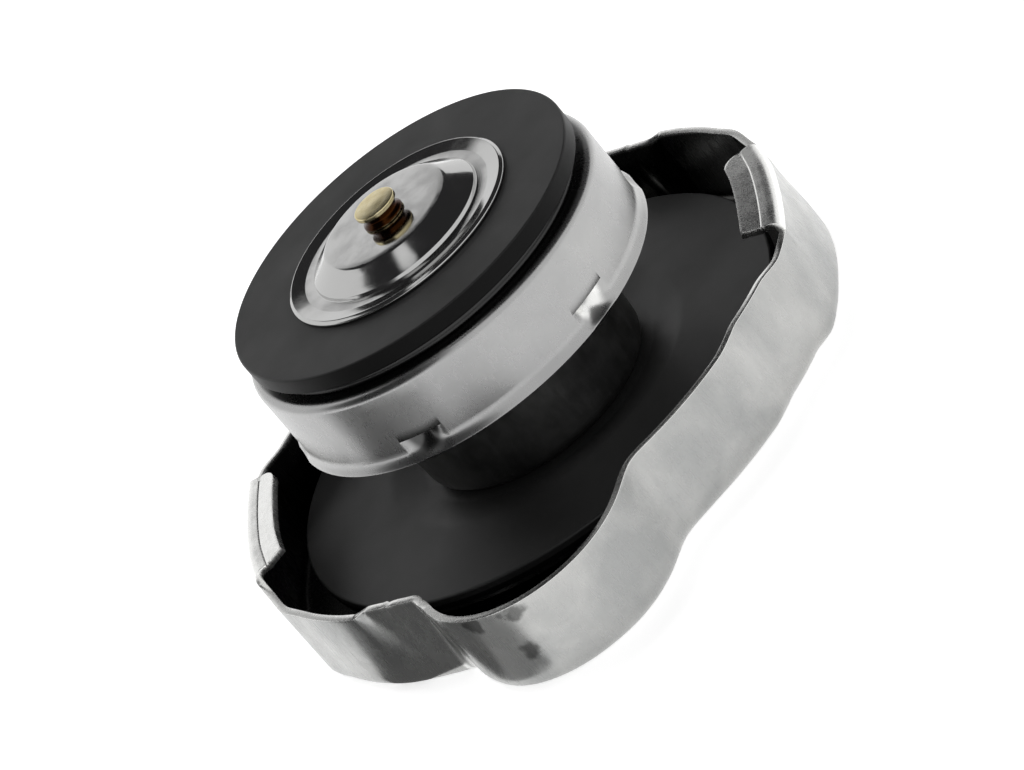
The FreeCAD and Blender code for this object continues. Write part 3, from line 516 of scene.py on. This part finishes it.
def add_shell(material):
    """Drawn shell: recess, flat top, edge round, skirt with ears and stop panels, folded tabs.

    Rows are circles from the rivet hole to the recess, then blend to the outline set in by the edge
    round q, go round it by inset q (1 - sin t) and height q (1 - cos t), and climb the skirt. Past the
    rim they follow the tab's section, and only the tabs' own columns keep those quads. Towards a tab the
    skirt leans in to the tab's sagging fold, and towards the foot it swells out.
    """
    degrees = skirt_columns()
    angle = np.radians(degrees)
    ray = np.stack([np.cos(angle), np.sin(angle)], axis=-1)
    outline = ray * (skirt_radius(degrees, OUTLINE_BLUR) + swell(degrees, CORNER_SWELL))[:, None]
    inward = skirt_inward(degrees)
    foot = swell(degrees, FOOT_SWELL)
    sag, on_tab, short = tab_columns(degrees)

    recess = divided(rounded([
        (RIVET_RADIUS, RECESS_DEPTH, 0), (RECESS_FLOOR, RECESS_DEPTH, RECESS_ROUND),
        (RECESS_RADIUS, 0.0, RECESS_ROUND), (RECESS_RADIUS + RECESS_MARGIN, 0.0, 0)]), 1.6)
    circles = recess[:, :1, None] * ray
    turn = np.radians(np.arange(10.0, 91.0, 10.0))
    climb = np.linspace(TOP_ROUND, SKIRT_HEIGHT, CLIMB_ROWS + 1)[1:]
    heights = np.concatenate([TOP_ROUND * (1 - np.cos(turn)), climb])[:, None]
    insets = np.concatenate([TOP_ROUND * (1 - np.sin(turn)), 0 * climb])[:, None]
    # The panels' lines of painted highlight go to the sheet as its painted light mark.
    pressed, painted_glints = stop_panels(degrees, heights)
    edge = outline + inward * (TOP_ROUND - foot + pressed[0])[:, None]
    spread = np.linspace(0.0, 1.0, FLAT_ROWS + 1)[1:, None, None]
    flat = circles[-1] + (edge - circles[-1]) * spread
    lean = sag * smoothstep(*SAG_HEIGHTS, heights) - foot * smoothstep(SKIRT_HEIGHT, FOOT_HEIGHT, heights)
    wall = outline + inward * (insets + pressed + lean)[:, :, None]
    fold, rise = tab_rows(short)
    tab = outline + inward * (fold + sag)[:, :, None]

    plan = np.concatenate([circles, flat, wall, tab])
    levels = [recess[:, 1:] + 0 * degrees, np.zeros((FLAT_ROWS, degrees.size)), heights + 0 * degrees, rise]
    grid = np.concatenate([plan, np.concatenate(levels)[:, :, None]], axis=-1)
    keep = np.ones((grid.shape[0] - 1, degrees.size), bool)
    keep[-len(fold):] = on_tab
    piece = add_sheet("shell_stamping", grid, keep, SHEET, painted_glints)
    finish_edges(piece, 0.12)
    settle(piece, "shell", "cap_shell", material)


def add_cup(material):
    """Drawn valve cup: section turned about +Z, with stakes pressed in below their slits.

    With s the arc length from a stake's middle and h the depth below its slit, the wall moves in by
    depth (1 + cos(pi s / half width)) / 2 (1 - h / height). The slit's row is there twice, and the quads
    between the two are left out, so the wall is open at each stake and closed elsewhere.
    """
    lower = divided(rounded([
        (CUP_FLARE[0], CUP_RIM, 0), (CUP_RADIUS, CUP_RIM + CUP_FLARE[1], 1.6),
        (CUP_RADIUS, SLIT, 0)]), 0.22)
    upper = divided(rounded([
        (CUP_RADIUS, SLIT, 0), (CUP_RADIUS, CUP_SHOULDER, 1.0), (CUP_NECK, CUP_SHOULDER, 0.4),
        (CUP_NECK, CUP_END, 0.85), (CUP_BORE, CUP_END, 0)]), 1.2)
    line = np.concatenate([lower, upper])
    even = np.arange(0.0, 360.0, 1.0)
    spots = STAKE_ANGLE + np.arange(STAKES) * STAKE_PITCH
    fine = (spots[:, None] + STAKE_COLUMNS).ravel()
    degrees = np.unique(np.round(np.concatenate([even, fine]) % 360.0, 3))
    angle = np.radians(degrees)
    off = (degrees - STAKE_ANGLE + STAKE_PITCH / 2) % STAKE_PITCH - STAKE_PITCH / 2
    across = np.radians(off) * CUP_RADIUS / STAKE_HALF_WIDTH
    down = (SLIT - line[:, 1:]) / STAKE_HEIGHT
    bowl = (0.5 + 0.5 * np.cos(np.pi * np.clip(across, -1.0, 1.0))) * np.clip(1 - down, 0.0, 1.0)
    bowl[bowl < STAKE_START] = 0.0
    bowl[len(lower):] = 0.0
    radius = line[:, :1] - STAKE_DEPTH * bowl
    points = np.stack([radius * np.cos(angle), radius * np.sin(angle), line[:, 1:] + 0 * angle], axis=-1)
    keep = np.ones((len(line) - 1, degrees.size), bool)
    keep[len(lower) - 1] = False
    # Stakes in the first half turn get a painted highlight, those past it painted shade.
    painted_light = smoothstep(0.1, 0.35, bowl) * np.where(degrees < 180.0, 1.0, STAKE_DENT_SHADE)
    piece = add_sheet("valve_cup_drawn", points, keep, CUP_SHEET, painted_light)
    finish_edges(piece, 0.1)
    settle(piece, "valve_cup", "pressure_valve", material)


def add_seal(material):
    """Moulded rubber washer with soft edges."""
    piece = turned("seal_washer", divided(rounded(SEAL_SECTION), 2.0))
    finish_edges(piece)
    settle(piece, "pressure_seal", "pressure_valve", material)


def add_plate(material):
    """Vacuum plate: rolled lip, groove, coned flank and slightly crowned top."""
    piece = turned("vacuum_plate_polished", divided(rounded(PLATE_SECTION, 6.0), 0.9))
    finish_edges(piece)
    settle(piece, "vacuum_plate", "vacuum_valve", material)


def add_pin(material):
    """Brass pin: peened end, stem, waisted neck and thin head."""
    piece = turned("brass_pin", divided(rounded(PIN_SECTION, 10.0), 0.8), 160)
    finish_edges(piece)
    settle(piece, "vacuum_pin", "vacuum_valve", material)


def add_gasket(material):
    """Rubber disc, squeezed thinner where the bell clamps it."""
    piece = turned("gasket_disc", divided(rounded(GASKET_SECTION), 1.5))
    finish_edges(piece)
    settle(piece, "top_gasket", "spring_housing", material)


def add_bell(material):
    """Drawn spring housing: rivet hole, base, tapered wall and outward flange."""
    piece = turned_sheet("bell_drawn", divided(rounded(BELL_SECTION), 1.2), BELL_SHEET)
    finish_edges(piece, 0.1)
    settle(piece, "bell", "spring_housing", material)


def add_coil(name, cad_node, body, spring, material):
    """Round wire wound about +Z inside its CAD node's box, with its ends ground flat.

    The wire's centre climbs evenly from the lowest to the highest height over its turns. Heights past
    the ends are clipped to them.
    """
    wire, turns = spring
    low, high = (np.array(corner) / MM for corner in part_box(cad_node))
    run = np.linspace(0.0, 1.0, int(turns * COIL_STEPS) + 1)[:, None]
    around = np.linspace(2 * np.pi, 0.0, WIRE_SIDES, endpoint=False)
    size = np.full(run.shape, wire / 2)
    run = np.concatenate([run[:1], run, run[-1:]])
    size = np.concatenate([[[0.0]], size, [[0.0]]])
    reach = high[0] - wire / 2 + size * np.cos(around)
    angle = 2 * np.pi * turns * run
    length = high[2] - low[2]
    rise = np.clip(low[2] + length * run + size * np.sin(around), low[2], high[2])
    points = np.stack([reach * np.cos(angle), reach * np.sin(angle), rise], axis=-1)
    piece = add_piece(name, points.reshape(-1, 3), ring_quads(*rise.shape).reshape(-1, 4))
    finish_edges(piece)
    settle(piece, cad_node, body, material)
    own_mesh(piece)


def dress(name, material):
    """Carry a CAD node over with a finish of its own."""
    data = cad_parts[name].data
    data.materials.clear()
    data.materials.append(material)


def colour(hex_value):
    """sRGB hex to a linear colour: c / 12.92 up to 0.04045, else ((c + 0.055) / 1.055)^2.4."""
    parts = np.array([int(hex_value[place:place + 2], 16) for place in (1, 3, 5)]) / 255.0
    linear = np.where(parts <= 0.04045, parts / 12.92, ((parts + 0.055) / 1.055) ** 2.4)
    return (*linear.tolist(), 1.0)


def node(tree, kind, inputs=None, **settings):
    """One shader node, with its settings, and its inputs as numbers or as sockets to link."""
    made = tree.nodes.new(kind)
    for key, value in settings.items():
        setattr(made, key, value)
    for key, value in (inputs or {}).items():
        if isinstance(value, bpy.types.NodeSocket):
            tree.links.new(value, made.inputs[key])
        else:
            made.inputs[key].default_value = value
    return made


def new_material(name):
    """Material with an empty tree."""
    material = bpy.data.materials.new(name)
    material.use_nodes = True
    material.node_tree.nodes.clear()
    return material, material.node_tree


def millimetres(tree):
    """Object coordinates in millimetres."""
    place = node(tree, "ShaderNodeTexCoord").outputs["Object"]
    scaled = node(tree, "ShaderNodeVectorMath", {0: place, "Scale": 1 / MM}, operation="SCALE")
    return scaled.outputs["Vector"]


def close_material(tree, inputs):
    """Principled surface with those inputs, joined to the output."""
    surface = node(tree, "ShaderNodeBsdfPrincipled", inputs)
    node(tree, "ShaderNodeOutputMaterial", {"Surface": surface.outputs["BSDF"]})


def clouded(tree, place, cloud, dark, light):
    """Soft clouds between two tones, where the plating took unevenly."""
    clouds = node(tree, "ShaderNodeTexNoise", {
        "Vector": place, "Scale": 1 / cloud, "Detail": 5.0, "Roughness": 0.55, "Distortion": 0.4})
    patch = node(tree, "ShaderNodeMapRange", {
        "Value": clouds.outputs["Fac"], "From Min": 0.34, "From Max": 0.66})
    return node(tree, "ShaderNodeMix", {
        SHARE: patch.outputs["Result"], FIRST: colour(dark), SECOND: colour(light)},
        data_type="RGBA").outputs[MIXED]


def with_dark_reflections(tree, place, mottle, tint):
    """The tint with grey patches of painted dark reflection, their edges ragged by the mottle."""
    for middle, reach in DARK_REFLECTIONS:
        away = node(tree, "ShaderNodeVectorMath", {0: place, 1: middle}, operation="DISTANCE")
        ragged = node(tree, "ShaderNodeMath", {0: mottle, 1: 3.0 * reach, 2: away.outputs["Value"]},
                      operation="MULTIPLY_ADD")
        spot = node(tree, "ShaderNodeMapRange", {
            "Value": ragged.outputs[0], "From Min": 2.7 * reach, "From Max": 2.1 * reach, "To Max": 0.75})
        tint = node(tree, "ShaderNodeMix", {
            SHARE: spot.outputs[0], FIRST: tint, SECOND: colour(DARK_REFLECTION)}, data_type="RGBA").outputs[MIXED]
    return tint


def with_painted_light(tree, tint):
    """The tint, lighter as a painted highlight where the painted light mark is over 0 and darker as painted
    shade where it is under 0.
    """
    painted_light = node(tree, "ShaderNodeAttribute", attribute_name="painted_light_mark").outputs["Fac"]
    shaded_share = node(tree, "ShaderNodeMath", {0: painted_light, 1: -1.0}, operation="MULTIPLY", use_clamp=True)
    bright = node(tree, "ShaderNodeMix", {SHARE: painted_light, FIRST: tint, SECOND: colour(PAINTED_HIGHLIGHT)},
                  data_type="RGBA")
    return node(tree, "ShaderNodeMix", {
        SHARE: shaded_share.outputs[0], FIRST: bright.outputs[MIXED], SECOND: colour(DENT_SHADE)},
        data_type="RGBA").outputs[MIXED]


def plated_steel(name, dark, light, cloud, rough, edge, grain=(1.0, 1.0, 0.06), dimple=0.0015):
    """Zinc-plated drawn steel: satin metal, cloudy where the plating took unevenly, with faint draw marks.

    The inner face is painted dark as shade, and painted dark reflections, painted highlights and painted
    shade go over the tint. cloud is the clouds' size in millimetres, rough the lowest and highest
    roughness, edge the height from which the steel is given another tone, with that tone (a painted
    highlight on the shell's rim and tabs, painted shade under the seal on the cup), grain the stretch of
    the draw marks by axis, and dimple the depth of the orange peel in millimetres.
    """
    material, tree = new_material(name)
    place = millimetres(tree)
    mottle = node(tree, "ShaderNodeTexNoise", {"Vector": place, "Scale": 1 / 1.8, "Detail": 4.0})
    mottle = mottle.outputs["Fac"]
    # The inner face is painted dark as shade.
    inside = node(tree, "ShaderNodeAttribute", attribute_name="inside").outputs["Fac"]
    tint = node(tree, "ShaderNodeMix", {
        SHARE: inside, FIRST: clouded(tree, place, cloud, dark, light), SECOND: colour(INNER_SHADE)},
        data_type="RGBA").outputs[MIXED]
    # Painted dark reflections, then painted highlights and painted shade from the painted light mark, go
    # over the tint.
    tint = with_painted_light(tree, with_dark_reflections(tree, place, mottle, tint))
    # From the edge height up the tint turns to the edge tone: on the shell a painted highlight over rim and
    # tabs, on the cup painted shade under the seal.
    height = node(tree, "ShaderNodeSeparateXYZ", {0: place}).outputs["Z"]
    band = node(tree, "ShaderNodeMapRange", {
        "Value": height, "From Min": edge[0] - 0.03, "From Max": edge[0] + 0.03})
    tint = node(tree, "ShaderNodeMix", {SHARE: band.outputs[0], FIRST: tint, SECOND: colour(edge[1])},
                data_type="RGBA").outputs[MIXED]
    drawn = node(tree, "ShaderNodeVectorMath", {0: place, 1: grain}, operation="MULTIPLY")
    marks = node(tree, "ShaderNodeTexNoise", {
        "Vector": drawn.outputs["Vector"], "Scale": 1 / 0.35, "Detail": 3.0}).outputs["Fac"]
    dull = node(tree, "ShaderNodeMath", {0: marks, 1: mottle}, operation="ADD")
    gloss = node(tree, "ShaderNodeMapRange", {
        "Value": dull.outputs["Value"], "From Min": 0.7, "From Max": 1.3, "To Min": rough[0],
        "To Max": rough[1]})
    relief = node(tree, "ShaderNodeMath", {0: marks, 1: mottle, 2: 1.0}, operation="MULTIPLY_ADD")
    bump = node(tree, "ShaderNodeBump", {
        "Height": relief.outputs["Value"], "Strength": 1.0, "Distance": dimple * MM})
    close_material(tree, {"Base Color": tint, "Metallic": 1.0, "Roughness": gloss.outputs["Result"],
                          "Normal": bump.outputs["Normal"]})
    return material


def polished_steel():
    """Polished stainless plate: near mirror, with faint turned rings from the polishing mop."""
    material, tree = new_material("polished_stainless_plate")
    place = millimetres(tree)
    flat = node(tree, "ShaderNodeVectorMath", {0: place, 1: (1.0, 1.0, 0.0)}, operation="MULTIPLY")
    reach = node(tree, "ShaderNodeVectorMath", {0: flat.outputs["Vector"]}, operation="LENGTH")
    rings = node(tree, "ShaderNodeTexNoise", {
        "W": reach.outputs["Value"], "Scale": 1 / 0.12, "Detail": 3.0}, noise_dimensions="1D")
    haze = node(tree, "ShaderNodeTexNoise", {"Vector": place, "Scale": 1 / 2.5, "Detail": 4.0})
    gloss = node(tree, "ShaderNodeMapRange", {
        "Value": haze.outputs["Fac"], "From Min": 0.35, "From Max": 0.7, "To Min": 0.07, "To Max": 0.17})
    bump = node(tree, "ShaderNodeBump", {
        "Height": rings.outputs["Fac"], "Strength": 1.0, "Distance": 0.0006 * MM})
    close_material(tree, {"Base Color": colour("#B8B8B7"), "Metallic": 1.0,
                          "Roughness": gloss.outputs["Result"], "Normal": bump.outputs["Normal"]})
    return material


def moulded_rubber(name, dark, light, rough, face):
    """Moulded EPDM rubber: matt, with a fine grain and a faint grey bloom over its face, from a height up.

    Below the face its sides are painted near black as shade, and have less shine.
    """
    material, tree = new_material(name)
    place = millimetres(tree)
    bloom = node(tree, "ShaderNodeTexNoise", {
        "Vector": place, "Scale": 1 / 9.0, "Detail": 6.0, "Roughness": 0.6}).outputs["Fac"]
    tint = node(tree, "ShaderNodeMix", {SHARE: bloom, FIRST: colour(dark), SECOND: colour(light)},
                data_type="RGBA").outputs[MIXED]
    height = node(tree, "ShaderNodeSeparateXYZ", {0: place}).outputs["Z"]
    above = node(tree, "ShaderNodeMapRange", {
        "Value": height, "From Min": face - 0.15, "From Max": face}).outputs[0]
    # Below the face the sides are painted near black as shade.
    tint = node(tree, "ShaderNodeMix", {SHARE: above, FIRST: colour(RUBBER_SIDE_SHADE), SECOND: tint},
                data_type="RGBA").outputs[MIXED]
    grain = node(tree, "ShaderNodeTexNoise", {"Vector": place, "Scale": 1 / 0.16, "Detail": 3.0})
    gloss = node(tree, "ShaderNodeMapRange", {
        "Value": bloom, "From Min": 0.3, "From Max": 0.7, "To Min": rough[0], "To Max": rough[1]})
    bump = node(tree, "ShaderNodeBump", {
        "Height": grain.outputs["Fac"], "Strength": 1.0, "Distance": 0.012 * MM})
    sheen = node(tree, "ShaderNodeMapRange", {"Value": above, "To Min": 0.12, "To Max": 0.5})
    close_material(tree, {"Base Color": tint, "Roughness": gloss.outputs["Result"],
                          "Specular IOR Level": sheen.outputs[0], "Normal": bump.outputs["Normal"]})
    return material


def turned_brass():
    """Turned brass pin: bright yellow metal with fine turning marks and a darker tarnish in its neck."""
    material, tree = new_material("turned_brass")
    place = millimetres(tree)
    worn = node(tree, "ShaderNodeTexNoise", {"Vector": place, "Scale": 1 / 0.9, "Detail": 4.0})
    worn = worn.outputs["Fac"]
    tint = node(tree, "ShaderNodeMix", {SHARE: worn, FIRST: colour("#C4B27A"), SECOND: colour("#E4DAB8")},
                data_type="RGBA").outputs[MIXED]
    height = node(tree, "ShaderNodeSeparateXYZ", {0: place}).outputs["Z"]
    ragged = node(tree, "ShaderNodeMath", {0: worn, 1: 0.5, 2: height}, operation="MULTIPLY_ADD")
    above = node(tree, "ShaderNodeMapRange", {
        "Value": ragged.outputs[0], "From Min": 33.6, "From Max": 33.78})
    below = node(tree, "ShaderNodeMapRange", {"Value": height, "From Min": 34.86, "From Max": 34.76})
    stain = node(tree, "ShaderNodeMath", {0: above.outputs[0], 1: below.outputs[0]}, operation="MULTIPLY")
    tint = node(tree, "ShaderNodeMix", {
        SHARE: stain.outputs[0], FIRST: tint, SECOND: colour(NECK_STAIN)}, data_type="RGBA").outputs[MIXED]
    fine = node(tree, "ShaderNodeTexNoise", {"Vector": place, "Scale": 1 / 0.2, "Detail": 2.0})
    bump = node(tree, "ShaderNodeBump", {
        "Height": fine.outputs["Fac"], "Strength": 1.0, "Distance": 0.002 * MM})
    close_material(tree, {"Base Color": tint, "Metallic": 1.0, "Roughness": 0.2,
                          "Normal": bump.outputs["Normal"]})
    return material


def flat_sheet(name, outline, level, material):
    """Flat face with its corners at the (x, y) of the outline."""
    mesh = bpy.data.meshes.new(name)
    mesh.from_pydata([(x * MM, y * MM, level * MM) for x, y in outline], [], [tuple(range(len(outline)))])
    mesh.materials.append(material)
    sheet = bpy.data.objects.new(name, mesh)
    bpy.context.scene.collection.objects.link(sheet)
    return sheet


def add_floor():
    """Pale floor, white to the camera and in the metal, which keeps the cap's shadow.

    It lies a hair below the cap's flat, so that the two faces aren't in one plane.
    """
    material, tree = new_material("pale_floor")
    base = node(tree, "ShaderNodeBsdfDiffuse", {"Color": (0.86, 0.86, 0.86, 1.0)})
    path = node(tree, "ShaderNodeLightPath")
    direct = node(tree, "ShaderNodeMath", {
        0: path.outputs["Is Camera Ray"], 1: path.outputs["Is Glossy Ray"]}, operation="ADD")
    direct = node(tree, "ShaderNodeMath", {
        0: direct.outputs[0], 1: path.outputs["Is Transmission Ray"]}, operation="ADD", use_clamp=True)
    seen = node(tree, "ShaderNodeMath", {0: direct.outputs[0], 1: SEEN_WHITE}, operation="MULTIPLY")
    lift = node(tree, "ShaderNodeEmission", {"Color": WHITE, "Strength": seen.outputs[0]})
    both = node(tree, "ShaderNodeAddShader", {0: base.outputs[0], 1: lift.outputs[0]})
    node(tree, "ShaderNodeOutputMaterial", {"Surface": both.outputs[0]})
    side = FLOOR_SIDE
    floor = flat_sheet("floor", ((-side, -side), (side, -side), (side, side), (-side, side)), FLOOR_LEVEL,
                       material)


def add_card(name, outline, tone):
    """Card lying on the floor in front of the cap, seen only in the metal."""
    material, tree = new_material(name)
    shade = node(tree, "ShaderNodeEmission", {"Color": WHITE, "Strength": tone})
    node(tree, "ShaderNodeOutputMaterial", {"Surface": shade.outputs[0]})
    flag = flat_sheet(name, outline, CARD_LEVEL, material)
    flag.visible_camera = False
    flag.visible_diffuse = False
    flag.visible_shadow = False
    flag.visible_transmission = False


def sky_cap(tree, direction, middle, limit, soft):
    """1 in the round cap of directions whose dot product with its middle is over the limit, else 0."""
    middle = Vector(middle).normalized()
    dot = node(tree, "ShaderNodeVectorMath", {0: direction, 1: middle}, operation="DOT_PRODUCT")
    return node(tree, "ShaderNodeMapRange", {
        "Value": dot.outputs["Value"], "From Min": limit - soft, "From Max": limit + soft},
        interpolation_type="SMOOTHSTEP").outputs[0]


def add_world():
    """Soft white studio with a dark canopy overhead, which the polished plate shows.

    A narrow lamp slot shines within the canopy, and a dark patch lies low beside it. The camera sees
    plain white.
    """
    world = bpy.data.worlds.new("studio")
    bpy.context.scene.world = world
    world.use_nodes = True
    tree = world.node_tree
    tree.nodes.clear()
    direction = node(tree, "ShaderNodeTexCoord").outputs["Generated"]
    canopy, slot, patch = (sky_cap(tree, direction, *cap) for cap in (CANOPY, LAMP_SLOT, LOW_PATCH))
    both = node(tree, "ShaderNodeMath", {0: canopy, 1: patch}, operation="MAXIMUM")
    dark = node(tree, "ShaderNodeMix", {SHARE: both.outputs[0], FIRST: WHITE, SECOND: CANOPY_TONE},
                data_type="RGBA")
    lit = node(tree, "ShaderNodeMix", {SHARE: slot, FIRST: dark.outputs[MIXED], SECOND: WHITE},
               data_type="RGBA")
    path = node(tree, "ShaderNodeLightPath")
    seen = node(tree, "ShaderNodeMix", {
        SHARE: path.outputs["Is Camera Ray"], FIRST: lit.outputs[MIXED], SECOND: WHITE}, data_type="RGBA")
    sky = node(tree, "ShaderNodeBackground", {"Color": seen.outputs[MIXED], "Strength": 1.0})
    node(tree, "ShaderNodeOutputWorld", {"Surface": sky.outputs[0]})


def add_lamp():
    """Soft square lamp aimed at the middle of the cap, unseen by polished metal."""
    lamp = bpy.data.lights.new("key_lamp", "AREA")
    lamp.shape = "SQUARE"
    lamp.size = LAMP_SIZE * MM
    lamp.energy = LAMP_POWER
    holder = bpy.data.objects.new("key_lamp", lamp)
    place = Vector(LAMP_PLACE) * MM
    holder.location = place
    holder.rotation_euler = (Vector(LAMP_TARGET) * MM - place).to_track_quat("-Z", "Y").to_euler()
    holder.visible_glossy = False
    bpy.context.scene.collection.objects.link(holder)


def add_camera():
    """Camera at the photograph's place, rolled as it was."""
    right = Vector(CAMERA_RIGHT)
    up = Vector(CAMERA_UP)
    turn = Matrix((right, up, right.cross(up))).transposed().to_4x4()
    data = bpy.data.cameras.new("camera")
    data.lens = LENS
    data.sensor_width = SENSOR
    data.clip_start = 0.01
    camera = bpy.data.objects.new("camera", data)
    camera.matrix_world = Matrix.Translation(Vector(CAMERA_PLACE) * MM) @ turn
    bpy.context.scene.collection.objects.link(camera)
    bpy.context.scene.camera = camera


add_camera()
add_floor()
add_card("dark_card", DARK_CARD, DARK_CARD_TONE)
add_card("grey_card", GREY_CARD, GREY_CARD_TONE)
add_world()
add_lamp()

# The shell's rim and tabs take a near white painted highlight.
shell_finish = plated_steel(
    "zinc_plated_shell", "#A0A1A0", "#B8B8B6", cloud=9.0, rough=(0.2, 0.33), edge=(10.66, "#EEEEEC"))
# The cup above its shoulder takes painted shade under the seal's overhang.
cup_finish = plated_steel(
    "zinc_plated_cup", "#A2A2A2", "#AFAFAE", cloud=14.0, rough=(0.26, 0.3), edge=(27.58, "#3C3C3C"),
    grain=(1.0, 1.0, 0.3), dimple=0.0004)
bell_finish = plated_steel(
    "drawn_steel_bell", "#6E6E6E", "#8C8C8B", cloud=6.0, rough=(0.3, 0.45), edge=(21.7, "#8C8C8B"))
spring_finish = plated_steel(
    "oiled_spring_steel", "#5F5F60", "#7D7D7C", cloud=3.0, rough=(0.25, 0.4), edge=(27.0, "#6C6C6B"))
plate_finish = polished_steel()
seal_finish = moulded_rubber(
    "moulded_rubber_seal", "#171717", "#232323", rough=(0.42, 0.55), face=30.98)
gasket_finish = moulded_rubber(
    "moulded_rubber_gasket", "#1B1B1B", "#262626", rough=(0.38, 0.5), face=5.75)
brass_finish = turned_brass()

add_shell(shell_finish)
add_cup(cup_finish)
add_seal(seal_finish)
add_plate(plate_finish)
add_pin(brass_finish)
add_gasket(gasket_finish)
add_bell(bell_finish)
add_coil("main_spring_coil", "main_spring", "spring_housing", MAIN_SPRING, spring_finish)
add_coil("vacuum_spring_coil", "vacuum_spring", "pressure_valve", LIGHT_SPRING, spring_finish)
for plain_node in ("centre_rivet", "rivet_washer", "guide_plate", "spring_retainer"):
    dress(plain_node, cup_finish)
dress("diaphragm_spring", spring_finish)
dress("seal_eyelet", plate_finish)

bpy.context.scene.view_settings.view_transform = "Standard"
